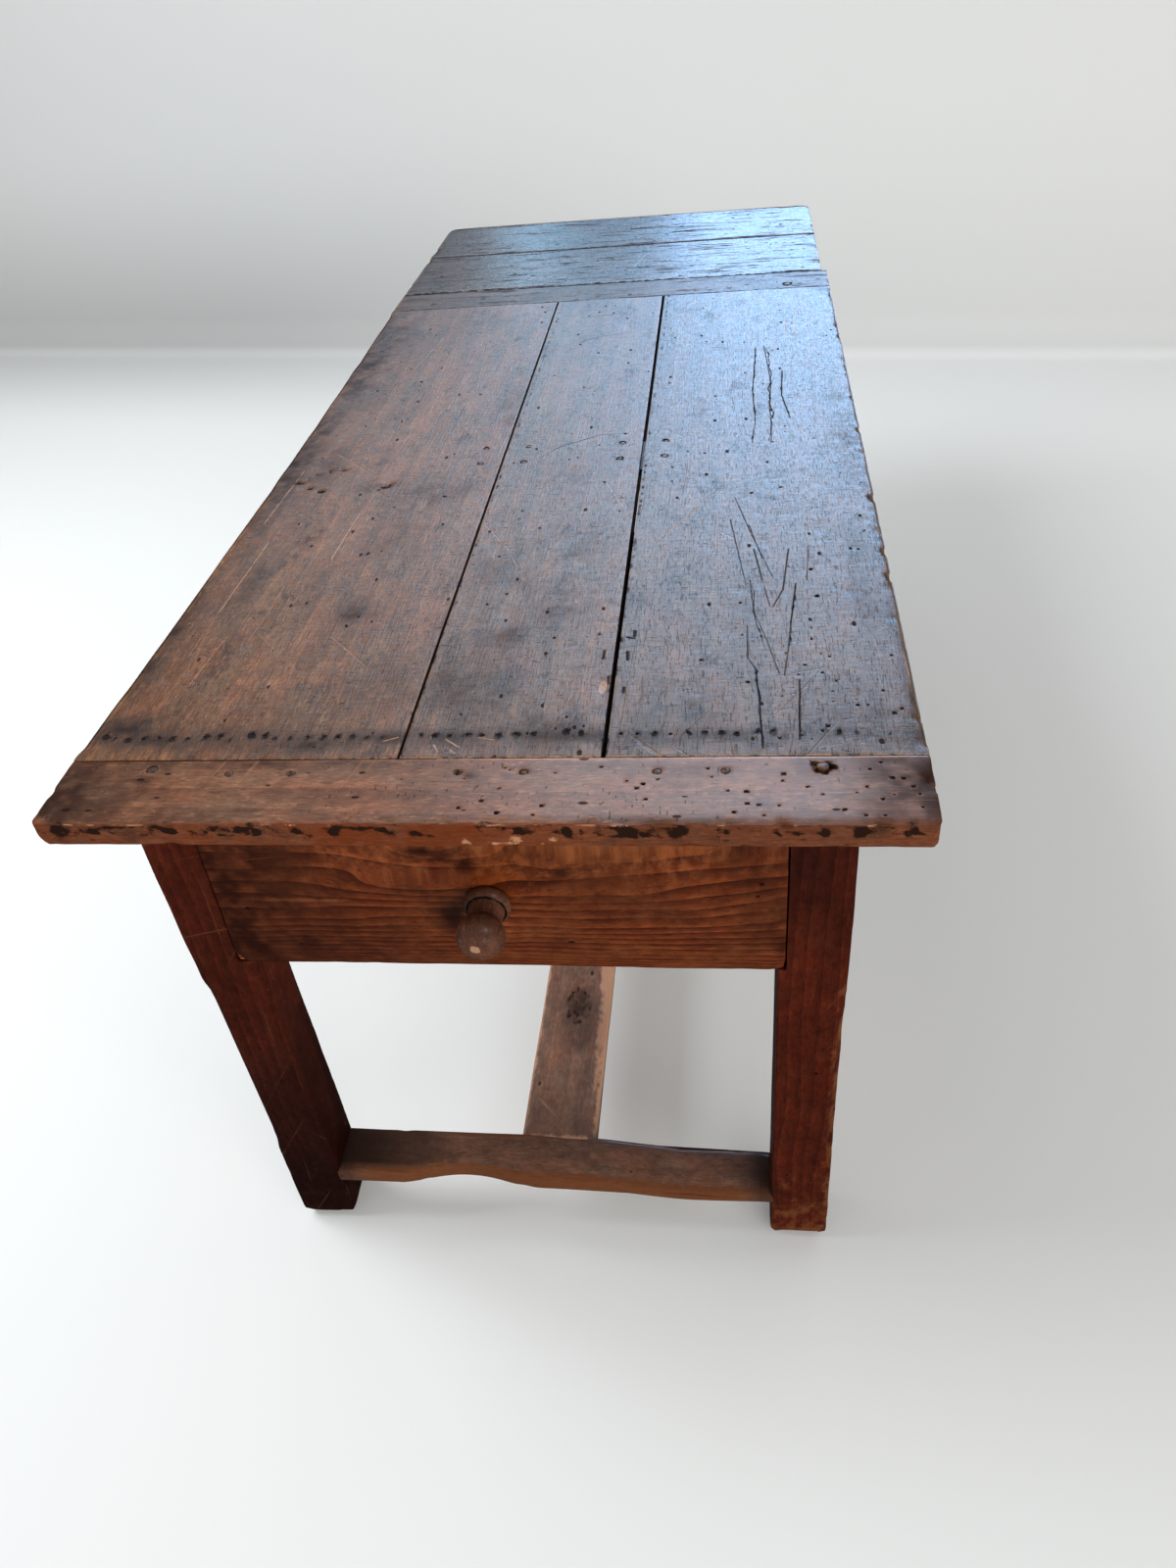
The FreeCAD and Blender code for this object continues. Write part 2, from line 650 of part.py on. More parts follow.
# Drawer front: half-blind sockets for the sides' tails, a groove for the bottom and a bore for the knob
knob_bore = Part.makeCylinder(knob_tenon_radius + knob_bore_gap, front_thick, knob_axis_start, V(0, 1, 0))
front_z = (front_bottom, top_under - front_gap)
drawer_front = box((front_left, front_right), (front_face, front_back), front_z)
drawer_front = cut_by(drawer_front, [side_left, side_right, drawer_bottom, knob_bore])

# Nails that hold the drawer bottom up to the drawer back
nail_y = drawer_end - drawer_back_thick / 2
bottom_nails = [nail((k * drawer_nail_spacing, nail_y, bottom_low), drawer_nail_length, drawer_nail_size)
                for k in (-2, -1, 0, 1, 2)]
drawer_bottom = cut_by(drawer_bottom, bottom_nails)
drawer_back = cut_by(drawer_back, bottom_nails)

# Legs, cut for everything that enters them
entering = [apron_left, apron_right, apron_far, near_rail, runner_left, runner_right]
entering += [stretcher_near, stretcher_far]
entering += apron_pegs + stretcher_pegs + top_pegs
legs = {}
for side, hand in ((-1, "left"), (1, "right")):
    for near, end in ((True, "near"), (False, "far")):
        post = leg(side, near)
        if near:
            lap = front_left - front_gap if side < 0 else front_right + front_gap
            rebate_x = sorted((lap, side * (leg_inner - overshoot)))
            rebate_y = (leg_near_y - overshoot, front_back + slide_gap)
            post = post.cut(box(rebate_x, rebate_y, (front_bottom - front_gap, top_under + overshoot)))
        legs["leg_" + end + "_" + hand] = cut_by(post, entering)

# End leaf: two crosswise boards nailed to two arms that slide through the far apron and the middle rail
leaf_x = (-half_width, half_width - leaf_inset_right)
leaf_inner = box(leaf_x, (main_end + leaf_gap, leaf_seam_y - leaf_gap / 2), top_z)
leaf_outer = end_board(leaf_x, leaf_seam_y + leaf_gap / 2, leaf_end, leaf_corner_radius)


def leaf_arm(x):
    """A stick with a rounded nose, planed lower where it runs under the fixed top."""
    low = x - arm_width / 2
    y_end = leaf_end - arm_outer_inset
    step = main_end + leaf_gap
    points = [V(low, y_end, top_under), V(low, step, top_under), V(low, step, top_under - arm_relief),
              V(low, arm_inner_end, top_under - arm_relief), V(low, arm_inner_end, arm_bottom),
              V(low, y_end - arm_nose_radius, arm_bottom)]
    edges = [Part.makeLine(a, b) for a, b in zip(points, points[1:])]
    turn = arm_nose_radius * math.cos(math.pi / 4)
    nose_middle = V(low, y_end - arm_nose_radius + turn, arm_bottom + arm_nose_radius - turn)
    nose_end = V(low, y_end, arm_bottom + arm_nose_radius)
    edges += [Part.Arc(points[-1], nose_middle, nose_end).toShape(), Part.makeLine(nose_end, points[0])]
    return extrude(edges, (arm_width, 0, 0))


stop_y = middle_rail_y - leaf_travel - stop_peg_gap - stop_peg_size / 2
stop_start = arm_bottom - stop_peg_drop
stop_length = arm_height - arm_relief + stop_peg_drop
stop_pegs = [peg((x, stop_y, stop_start), (0, 0, 1), stop_length, stop_peg_size) for x in (-arm_x, arm_x)]
leaf_nail_length = arm_height + leaf_nail_hold
leaf_nail_y = (main_end + leaf_nail_inset, leaf_seam_y - leaf_nail_inset, leaf_seam_y + leaf_nail_inset,
               leaf_end - leaf_nail_end_inset)
leaf_nail_places = [(x, y, arm_bottom) for x in (-arm_x, arm_x) for y in leaf_nail_y]
leaf_nails = [nail(place, leaf_nail_length, leaf_nail_size) for place in leaf_nail_places]
arms = [cut_by(leaf_arm(x), stop_pegs + leaf_nails) for x in (-arm_x, arm_x)]
leaf_inner = cut_by(leaf_inner, leaf_nails)
leaf_outer = cut_by(leaf_outer, leaf_nails)

# One file for each piece
for group in (planks, breadboards, legs):
    for name, shape in group.items():
        save(name, shape)
save("plank_tenons", *loose_tenons)
save("plank_pegs", *plank_pegs)
save("breadboard_pegs", *breadboard_pegs)
save("top_pegs", *top_pegs)
save("apron_left", apron_left)
save("apron_right", apron_right)
save("apron_far", apron_far)
save("apron_pegs", *apron_pegs)
save("near_rail", near_rail)
save("middle_rail", middle_rail)
save("runner_left", runner_left)
save("runner_right", runner_right)
save("cross_stretcher_near", stretcher_near)
save("cross_stretcher_far", stretcher_far)
save("long_stretcher", long_stretcher)
save("stretcher_pegs", *stretcher_pegs)
save("drawer_front", drawer_front)
save("drawer_side_left", side_left)
save("drawer_side_right", side_right)
save("drawer_back", drawer_back)
save("drawer_bottom", drawer_bottom)
save("drawer_nails", *bottom_nails)
save("drawer_knob", knob)
save("knob_wedge", wedge)
save("leaf_board_inner", leaf_inner)
save("leaf_board_outer", leaf_outer)
save("leaf_arm_left", arms[0])
save("leaf_arm_right", arms[1])
save("leaf_stop_pegs", *stop_pegs)
save("leaf_nails", *leaf_nails)
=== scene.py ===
"""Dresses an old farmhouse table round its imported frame: worn boards, turned knob, woods and studio."""
import json
import math

import bmesh
import bpy
import numpy as np
from bpy.props import FloatProperty, FloatVectorProperty, PointerProperty
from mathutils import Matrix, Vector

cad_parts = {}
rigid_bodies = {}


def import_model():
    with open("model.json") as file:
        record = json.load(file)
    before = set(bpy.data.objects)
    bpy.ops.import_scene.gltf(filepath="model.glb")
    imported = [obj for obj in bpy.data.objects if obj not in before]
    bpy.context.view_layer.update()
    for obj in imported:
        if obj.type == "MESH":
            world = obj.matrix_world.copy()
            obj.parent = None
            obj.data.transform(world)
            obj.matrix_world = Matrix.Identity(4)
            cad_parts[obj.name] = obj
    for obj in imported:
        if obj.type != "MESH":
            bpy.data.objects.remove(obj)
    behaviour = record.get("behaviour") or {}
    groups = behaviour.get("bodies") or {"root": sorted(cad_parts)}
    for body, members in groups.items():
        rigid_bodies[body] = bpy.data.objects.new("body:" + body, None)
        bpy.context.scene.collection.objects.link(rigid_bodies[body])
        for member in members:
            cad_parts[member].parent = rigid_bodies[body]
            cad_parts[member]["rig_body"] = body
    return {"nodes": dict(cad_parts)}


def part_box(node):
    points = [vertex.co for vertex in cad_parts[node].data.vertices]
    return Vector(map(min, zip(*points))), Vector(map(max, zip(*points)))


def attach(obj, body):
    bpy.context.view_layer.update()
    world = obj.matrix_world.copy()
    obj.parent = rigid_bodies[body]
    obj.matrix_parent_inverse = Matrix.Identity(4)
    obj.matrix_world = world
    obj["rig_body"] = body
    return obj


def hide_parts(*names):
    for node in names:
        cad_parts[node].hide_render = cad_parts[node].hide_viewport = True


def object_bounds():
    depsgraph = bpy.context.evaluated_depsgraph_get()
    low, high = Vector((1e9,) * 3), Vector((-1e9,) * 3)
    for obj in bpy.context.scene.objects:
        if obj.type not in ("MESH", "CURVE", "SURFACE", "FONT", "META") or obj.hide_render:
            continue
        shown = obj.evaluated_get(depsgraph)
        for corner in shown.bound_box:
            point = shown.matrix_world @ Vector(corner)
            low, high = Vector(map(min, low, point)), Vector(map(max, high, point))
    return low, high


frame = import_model()
CAD_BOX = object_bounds()

bl_info = {
    "name": "Farmhouse Table Dresser",
    "version": (1, 0, 0),
    "blender": (4, 5, 0),
    "location": "View3D > Sidebar > Table",
    "description": "Builds the worn boards, the turned knob and the aged finishes of a farmhouse table",
    "category": "Object",
}

X, Y, Z = 0, 1, 2
MM = 0.001
# How far a dressed rail reaches into its mortise, and how near two places count as one
JOINT = 8 * MM
CLOSE = 0.1 * MM
# Spacing of points on faces that are hardly seen
BACK_STEP = 0.03
# Degrees from which an edge of a board, the knob and a peg stays sharp, and a CAD solid's arris is eased
SHARP_ANGLE, TURNED_ANGLE, PEG_ANGLE, EASED_ANGLE = 38, 60, 50, 40
BUMP_DEPTH = 0.0012
# Depths of pin holes and of the holes round pegs
PIN_DEPTH, PEG_DEPTH = 3 * MM, 9 * MM


# Settings that a user would change

def length(name, text, default):
    """A property in metres."""
    return FloatProperty(name=name, description=text, default=default, unit="LENGTH", precision=4)


def colour(name, text, default):
    """A linear colour property."""
    return FloatVectorProperty(name=name, description=text, default=default, subtype="COLOR", size=3, min=0,
                               max=1)


def power(name, text, default):
    """The power of a light."""
    return FloatProperty(name=name, description=text, default=default, subtype="POWER", unit="POWER")


class TableWear(bpy.types.PropertyGroup):
    """Sizes of the wear on the boards."""
    arris: length("Arris radius", "Radius of the rounded arrises of the top", 0.003)
    seam_arris: length("Seam arris", "Radius of the arrises along the seams of the top", 0.0008)
    leg_arris: length("Leg arris radius", "Radius of the rounded arrises of the legs", 0.003)
    wave: length("Waviness", "Depth of the hollows that hand planing left", 0.0005)
    chip: length("Chips", "Depth of the bites out of the arrises", 0.004)
    chamfer: length("Leg chamfer", "How far the stop chamfers cut into each face of a leg", 0.01)
    chamfer_low: length("Chamfer start", "Height at which the stop chamfers begin", 0.132)
    chamfer_high: length("Chamfer end", "Height at which the stop chamfers end", 0.494)
    run_out: length("Chamfer run-out", "Length over which a chamfer rises to the arris", 0.06)
    tack_pitch: length("Tack pitch", "Distance between the old tack holes across the top", 0.0152)
    hollow: length("Stretcher hollow", "Depth that feet wore into the near stretcher", 0.016)


class TableFinish(bpy.types.PropertyGroup):
    """Colours of the woods, linear."""
    top_dark: colour("Top, dark", "Stains and pores of the top", (0.034, 0.016, 0.01))
    top_mid: colour("Top, middle", "Main tone of the top", (0.15, 0.074, 0.042))
    top_light: colour("Top, light", "Rubbed streaks of the top", (0.3, 0.16, 0.085))
    leg_dark: colour("Leg, dark", "Dark tone of legs and aprons", (0.012, 0.0013, 0.0004))
    leg_mid: colour("Leg, middle", "Main tone of legs and aprons", (0.1, 0.0092, 0.0014))
    leg_light: colour("Leg, light", "Rubbed arrises of legs", (0.3, 0.125, 0.045))
    rail_dark: colour("Stretcher, dark", "Dark tone of the stretchers", (0.03, 0.014, 0.009))
    rail_mid: colour("Stretcher, middle", "Main tone of the stretchers", (0.124, 0.059, 0.036))
    rail_light: colour("Stretcher, light", "Rubbed tone of the stretchers", (0.27, 0.135, 0.068))
    pine_dark: colour("Drawer front, dark", "Late wood of the drawer front", (0.03, 0.0046, 0.001))
    pine_mid: colour("Drawer front, middle", "Main tone of the drawer front", (0.19, 0.038, 0.0076))
    pine_light: colour("Drawer front, light", "Early wood of the drawer front", (0.33, 0.088, 0.021))
    inside_dark: colour("Inside, dark", "Late wood of the bare pine", (0.16, 0.085, 0.04))
    inside_mid: colour("Inside, middle", "Main tone of the bare pine", (0.32, 0.19, 0.095))
    inside_light: colour("Inside, light", "Early wood of the bare pine", (0.45, 0.29, 0.155))
    knob_dark: colour("Knob, dark", "Dark tone of the knob", (0.018, 0.0065, 0.0035))
    knob_mid: colour("Knob, middle", "Main tone of the knob", (0.13, 0.047, 0.028))
    knob_light: colour("Knob, light", "Rubbed tone of the knob", (0.3, 0.17, 0.1))
    iron: colour("Nails", "Old iron", (0.045, 0.032, 0.026))


class TableStage(bpy.types.PropertyGroup):
    """Camera, light and backdrop."""
    camera_place: FloatVectorProperty(name="Camera place", description="Where the camera stands", size=3,
                                      default=(0.2327, -1.7103, 1.3799), subtype="TRANSLATION",
                                      unit="LENGTH")
    camera_turn: FloatVectorProperty(name="Camera turn", description="The camera's angles", size=3,
                                     subtype="EULER",
                                     default=[math.radians(a) for a in (50.602, 4.919, 5.602)])
    lens: FloatProperty(name="Lens", description="Focal length in mm for a 36 mm long side", default=26.14)
    window_power: power("Window", "Power of the cool light past the far end", 42.0)
    fill_power: power("Fill", "Power of the soft light from the near side", 78.0)
    key_power: power("Key", "Power of the soft light from the left", 130.0)
    sky: FloatProperty(name="Sky", description="Strength of the soft light all round", default=0.48)
    backdrop: colour("Backdrop", "Colour of floor and wall", (0.66, 0.675, 0.68))


def wear():
    return bpy.context.scene.table_wear


def finish():
    return bpy.context.scene.table_finish


# Noise and the board builder

def lattice(cells, seed):
    """A steady value from 0 to 1 for each whole-number point."""
    mask = 0xFFFFFFFF
    n = cells[..., 0] * 374761393 + cells[..., 1] * 668265263 + cells[..., 2] * 2147483647
    n = (n + seed * 974126177) & mask
    n = ((n ^ (n >> 13)) * 1274126177) & mask
    return ((n ^ (n >> 16)) & 0xFFFF) / 65535.0


def noise(points, seed):
    """Smooth noise from -1 to 1 at an array of points."""
    cells = np.floor(points).astype(np.int64)
    part = points - cells
    part = part * part * (3 - 2 * part)
    total = np.zeros(points.shape[:-1])
    for corner in np.ndindex(2, 2, 2):
        share = np.prod(np.where(corner, part, 1 - part), axis=-1)
        total += share * lattice(cells + np.array(corner), seed)
    return total * 2 - 1


def unit(values):
    """Values held between 0 and 1."""
    return np.clip(values, 0, 1)


def bell(gap, width, power=2):
    """1 where a gap is nothing, falling to 0 over a width."""
    return np.exp(-(gap / width) ** power)


def spaced(low, high, step, lines=()):
    """Places from low to high about a step apart, with a close pair of places at each extra line."""
    count = max(2, int(round((high - low) / step)) + 1)
    places = list(np.linspace(low, high, count))
    for line in lines:
        kept = [p for p in places[1:-1] if abs(p - line) > step * 0.4]
        places = [places[0]] + kept + [line - CLOSE, line + CLOSE] + [places[-1]]
    return np.array(sorted(places))


class Board:
    """A worn board in the making: rings of points across it, at stations along it.

    Its own coordinates are across, along and out of its face, from its middle.
    """

    # Degrees between the points that round its corners and its ends
    corner_turns = 22.5, 45, 67.5
    end_turns = 90, 60, 30
    # How far a hole's rim lies below the face, and the size of its floor
    rim_drop, floor_share = 0.0002, 0.75

    def __init__(self, low, high, axes, sign=1, radius=0.003, step=(0.01, 0.01), back_step=None,
                 across_lines=(), along_lines=(), seed=1):
        low, high = np.array(low, float), np.array(high, float)
        self.axes, self.sign, self.seed, self.step = list(axes), sign, seed, step
        self.centre = (low + high) / 2
        self.half = ((high - low) / 2)[self.axes]
        self.extra_points, self.extra_faces, self.extra_stain, self.cracks = [], [], [], []
        base, normal = self._ring(radius, step[0], back_step or step[0], across_lines)
        self._stations(base, normal, radius, step[1], along_lines)
        self.rest = self.p.copy()
        self.across, self.along, self.above = np.moveaxis(self.rest, -1, 0)
        self.facing = self.n[..., 2]
        # Per-point shading values. The dirt value darkens both for grime and for painted shade; the bare
        # value lightens both for bare wood and for painted highlights.
        self.stain, self.rub, self.dirt, self.bare, self.gloss = np.zeros((5, *self.p.shape[:2]))
        self.clouds = self.noise(0.022, seed + 15) + 0.7 * self.noise(0.008, seed + 16)
        self.edge_share = np.ones(self.p.shape[:2])
        self.shift = np.array([seed * 0.371 % 1, seed * 1.73 % 7, seed * 0.219 % 1])
        self.flow = None
        self.cut_cells = np.zeros((self.p.shape[0], self.top), bool)

    def _ring(self, radius, step, back_step, lines):
        """Points of the inner rectangle and their outward directions, once round the section."""
        u, w = self.half[0] - radius, self.half[2] - radius
        face = spaced(-u, u, step, lines)
        back = spaced(-u, u, back_step, lines)[::-1]
        edge = spaced(-w, w, min(step, w / 2))
        self.top, self.back, self.edge = len(face), len(back), len(edge)
        sides = [([(a, w) for a in face], 90), ([(u, b) for b in edge[::-1]], 0),
                 ([(a, -w) for a in back], -90), ([(-u, b) for b in edge], 180)]
        base, normal = [], []
        for points, angle in sides:
            turns = [angle] * len(points) + [angle - turn for turn in self.corner_turns]
            base += points + [points[-1]] * len(self.corner_turns)
            normal += [(math.cos(math.radians(a)), math.sin(math.radians(a))) for a in turns]
        return np.array(base), np.array(normal)

    def _stations(self, base, normal, radius, step, lines):
        """The rings along the board, drawn in at its two rounded ends."""
        inner = self.half[1] - radius
        body = [(v, 0.0) for v in spaced(-inner, inner, step, lines)]
        turns = [math.radians(a) for a in self.end_turns]
        start = [(-inner - radius * math.sin(t), -t) for t in turns]
        end = [(inner + radius * math.sin(t), t) for t in reversed(turns)]
        rings, outs = [], []
        for v, turn in start + body + end:
            reach = radius * math.cos(turn)
            section = base + reach * normal
            tilted = normal * math.cos(turn)
            rings.append(np.insert(section, 1, v, axis=1))
            outs.append(np.insert(tilted, 1, math.sin(turn), axis=1))
        self.p, self.n = np.array(rings), np.array(outs)

    def noise(self, size, seed):
        """Smooth noise at the points of the unworn board, with patches of a size in metres."""
        return noise(self.rest / size, seed)

    def patches(self, share, swing, size, seed):
        """A mask that swings round a share."""
        return unit(share + swing * self.noise(size, seed))

    def near_arris(self, width):
        """1 at the arrises of the board, falling to 0 over a width."""
        gaps = np.sort(self.half - np.abs(self.rest), axis=-1)
        return np.exp(-(gaps[..., 0] ** 2 + gaps[..., 1] ** 2) / width ** 2)

    def push(self, depth):
        """Moves the surface in by a depth for each point."""
        self.p -= self.n * depth[..., None]

    def lay(self, **values):
        """Raises shading values of the points to the given ones where these are higher."""
        for key, value in values.items():
            setattr(self, key, np.maximum(getattr(self, key), value))

    def weather(self, wave, arris, chip, chip_size=0.018):
        """Planing waves, rounded arrises and bites out of them."""
        drawn = self.rest * (1, 0.3, 1)
        waves = 0.65 * noise(drawn / 0.07, self.seed) + 0.35 * noise(drawn / 0.022, self.seed + 1)
        uneven = 0.6 + 0.7 * self.noise(0.045, self.seed + 2)
        bites = unit(self.noise(chip_size, self.seed + 3) - 0.3) * 1.6
        edges = arris * self.near_arris(0.006) * uneven + chip * self.near_arris(0.007) * bites
        self.push(wave * (1 + waves) + edges * self.edge_share)

    def local(self, point):
        """A point of the table in the board's own coordinates."""
        own = (np.array(point, float) - self.centre)[self.axes]
        own[2] *= self.sign
        return own

    def grain_place(self, point):
        """A point of the table in the coordinates of the board's grain."""
        return tuple(self.local(point) + self.shift)

    def spot(self, point, size):
        """1 at a point of the face, falling to 0; its size may be different across and along."""
        across, along = size if isinstance(size, tuple) else (size, size)
        gap = self.p - self.local(point)
        return np.exp(-(gap[..., 0] / across) ** 2 - (gap[..., 1] / along) ** 2 - (gap[..., 2] / 0.03) ** 2)

    def mark(self, point, size, strength):
        """A dark stain; the finish makes its edge ragged."""
        self.lay(stain=strength * self.spot(point, size))

    def soil(self, point, size, strength):
        """A soft dark area with clouds in it."""
        uneven = unit(strength * (1.0 + 0.6 * self.clouds))
        self.lay(dirt=uneven * self.spot(point, size))

    def dent(self, point, size, depth):
        """A soft dent in the face."""
        self.push(depth * self.spot(point, size) * (self.facing > 0.5))

    def crack(self, points, width, depth):
        """A drying crack that opens along the grain; it is cut when the mesh is made."""
        path = np.array(sorted((self.local(p)[1], self.local(p)[0]) for p in points))
        along = self.p[:, 0, 1]
        rows = np.where((along >= path[0, 0]) & (along <= path[-1, 0]))[0]
        wanted = np.interp(along[rows], path[:, 0], path[:, 1])
        wanted += 0.0012 * noise(np.stack([along[rows] / 0.018, wanted * 0, wanted * 0], -1), self.seed + 9)
        column = int(np.argmin(np.abs(self.p[rows, :self.top, 0] - wanted[:, None]).mean(0)))
        shift = wanted - self.p[rows, column, 0]
        reach = 2 * self.step[0] + 3 * np.abs(shift).max()
        ramp = unit(np.minimum(rows - rows[0], rows[-1] - rows) / 4)
        for i in range(1, self.top - 1):
            gap = self.rest[0, i, 0] - self.rest[0, column, 0]
            share = math.exp(-(gap / reach) ** 2)
            self.p[rows, i, 0] += shift * share * (1 if i == column else 0.6 + 0.4 * ramp)
        self.cracks.append((column, rows, width, depth))
        self.cut_cells[rows[0] - 1:rows[-1] + 2, column - 2:column + 2] = True

    def hole(self, point, radius, depth, ragged=0.12, stain=0.9, spread=None):
        """A hole in the face with its own wall and floor. It is left out where another cut is in its way."""
        at = self.local(point)
        face = self.p[:, :self.top]
        row, col = np.unravel_index(np.argmin(((face - at)[..., :2] ** 2).sum(-1)), face.shape[:2])
        k = max(1, math.ceil(radius * 1.25 / min(self.step)))
        if min(row - k - 3, col - k - 1, len(face) - row - k - 5, self.top - col - k - 2) < 0:
            return
        if self.cut_cells[row - k:row + k, col - k:col + k].any():
            return
        self.cut_cells[row - k:row + k, col - k:col + k] = True
        self.mark(point, spread or radius * 1.8, stain * 0.8)
        span = range(-k, k)
        loop = [(row - k, col + a) for a in span] + [(row + a, col + k) for a in span]
        loop += [(row + k, col - a) for a in span] + [(row - a, col - k) for a in span]
        rim, floor, level = [], [], face[row, col, 2]
        first = self.p.shape[0] * self.p.shape[1] + len(self.extra_points)
        for j, i in loop:
            angle = math.atan2(j - row, i - col)
            wobble = 1 + ragged * math.sin(3 * angle + row) + ragged * math.sin(5 * angle + col)
            for ring, share, down in ((rim, 1.0, self.rim_drop), (floor, self.floor_share, depth)):
                reach = radius * wobble * share
                ring.append((at[0] + reach * math.cos(angle), at[1] + reach * math.sin(angle), level - down))
        self.extra_points += rim + floor + [(at[0], at[1], level - depth)]
        count = len(loop)
        self.extra_stain += [stain] * (2 * count + 1)
        flat = [j * self.p.shape[1] + i for j, i in loop]
        for a in range(count):
            b = (a + 1) % count
            self.extra_faces.append((flat[a], flat[b], first + b, first + a))
            self.extra_faces.append((first + a, first + b, first + count + b, first + count + a))
            self.extra_faces.append((first + count + a, first + count + b, first + 2 * count))

    def _cap(self, row, start):
        """The faces that close one end."""
        first = row * self.p.shape[1]
        face = [first + i for i in range(self.top)]
        side = self.edge + 2 * len(self.corner_turns)
        lead = self.top + side
        back = [first + lead + i for i in range(self.back)][::-1]
        right = [first + self.top - 1 + i for i in range(side + 2)]
        left = [first + lead + self.back - 1 + i for i in range(side + 1)] + [first]
        polygons = [right, left]
        cuts = [int(round(k * (self.top - 1) / (self.back - 1))) for k in range(self.back)]
        for k in range(self.back - 1):
            polygons.append(face[cuts[k]:cuts[k + 1] + 1] + [back[k + 1], back[k]])
        return [p[::-1] if start else p for p in polygons]

    def faces(self):
        """All faces, with the cracks opened and the holes left out."""
        rows, ring = self.p.shape[:2]
        left = np.arange(rows * ring).reshape(rows, ring)
        right = left.copy()
        total = rows * ring + len(self.extra_points)
        added = []
        for column, span, width, depth in self.cracks:
            lips = {}
            for j in span[1:-1]:
                share = math.sin(math.pi * (j - span[0]) / (span[-1] - span[0])) ** 0.5
                at = self.p[j, column].copy()
                half = width / 2 * share * (0.75 + 0.5 * abs(math.sin(j * 1.7)))
                self.extra_points += [tuple(at - (half, 0, 0)), tuple(at + (half, 0, 0)),
                                      tuple(at - (0, 0, depth * share))]
                self.extra_stain += [0.55, 0.55, 1.0]
                lips[j] = (total, total + 1, total + 2)
                right[j, column], left[j, column] = total, total + 1
                total += 3
            lips.update({j: (left[j, column],) * 3 for j in (span[0], span[-1])})
            for a, b in zip(span[:-1], span[1:]):
                added.append((lips[a][0], lips[a][2], lips[b][2], lips[b][0]))
                added.append((lips[a][2], lips[a][1], lips[b][1], lips[b][2]))
        cells = np.ones((rows - 1, ring), bool)
        cells[:, :self.top] = ~self.hole_cells()[:-1]
        after = np.roll(right, -1, axis=1)
        quads = np.stack([left[:-1], after[:-1], after[1:], left[1:]], -1)[cells]
        faces = [tuple(q) for q in quads.tolist()] + self.extra_faces
        faces += [tuple(dict.fromkeys(f)) for f in added]
        return faces + self._cap(0, False) + self._cap(rows - 1, True)

    def hole_cells(self):
        """The cells of the face that holes take up; a crack takes up none."""
        taken = self.cut_cells.copy()
        for column, span, _, _ in self.cracks:
            taken[span[0] - 1:span[-1] + 2, column - 2:column + 2] = False
        return taken

    def build(self, name, material, node, slot, wear_width=0.006):
        """The finished object, riding on its node's body in the node's place."""
        faces = self.faces()
        own = np.concatenate([self.p.reshape(-1, 3), np.array(self.extra_points).reshape(-1, 3)])
        world = np.zeros_like(own)
        world[:, self.axes] = own * (1, 1, self.sign)
        world += self.centre
        order = np.zeros((3, 3))
        order[self.axes, [0, 1, 2]] = (1, 1, self.sign)
        if np.linalg.det(order) < 0:
            faces = [f[::-1] for f in faces]
        grain = own + self.shift
        if self.flow is not None:
            grain[:self.flow.size, 0] = self.flow.ravel() + self.shift[0]
        self.lay(rub=self.near_arris(wear_width) * self.edge_share)
        clean = np.zeros(len(self.extra_points))
        values = {"wear": np.append(self.rub, clean), "stain": np.append(self.stain, self.extra_stain)}
        for key in ("dirt", "bare", "gloss"):
            values[key] = np.append(getattr(self, key), clean)
        mesh_piece(name, world, faces, material, node, slot, grain=grain, **values)


def placed(name, data):
    """A new object in the scene."""
    made = bpy.data.objects.new(name, data)
    bpy.context.scene.collection.objects.link(made)
    return made


def mesh_piece(name, points, faces, material, node, slot, sharp=SHARP_ANGLE, **values):
    """A mesh object with its shading values, in place of a node."""
    mesh = bpy.data.meshes.new(name)
    used = np.zeros(len(points), bool)
    used[[i for f in faces for i in f]] = True
    renumber = np.cumsum(used) - 1
    mesh.from_pydata(points[used].tolist(), [], [tuple(renumber[list(f)].tolist()) for f in faces])
    for key, data in values.items():
        data = np.asarray(data, np.float32)[used]
        kind, field = ("FLOAT_VECTOR", "vector") if data.ndim == 2 else ("FLOAT", "value")
        mesh.attributes.new(key, kind, "POINT").data.foreach_set(field, data.ravel())
    mesh.validate()
    mesh.shade_smooth()
    mesh.set_sharp_from_angle(angle=math.radians(sharp))
    mesh.materials.append(material)
    piece = placed(name, mesh)
    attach(piece, frame["nodes"][node]["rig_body"])
    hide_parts(node)
    return piece


def solids_of(node):
    """The box of each separate solid of a node, as (low, high) corners."""
    mesh = frame["nodes"][node].data
    points = np.array([v.co for v in mesh.vertices])
    keys = {}
    same = [keys.setdefault(tuple(np.round(p, 5)), len(keys)) for p in points]
    parent = list(range(len(keys)))

    def root(i):
        while parent[i] != i:
            parent[i] = parent[parent[i]]
            i = parent[i]
        return i

    for edge in mesh.edges:
        parent[root(same[edge.vertices[0]])] = root(same[edge.vertices[1]])
    groups = {}
    for i, p in enumerate(points):
        groups.setdefault(root(same[i]), []).append(p)
    return [(np.min(g, 0), np.max(g, 0)) for g in groups.values()]


# Shader groups and materials

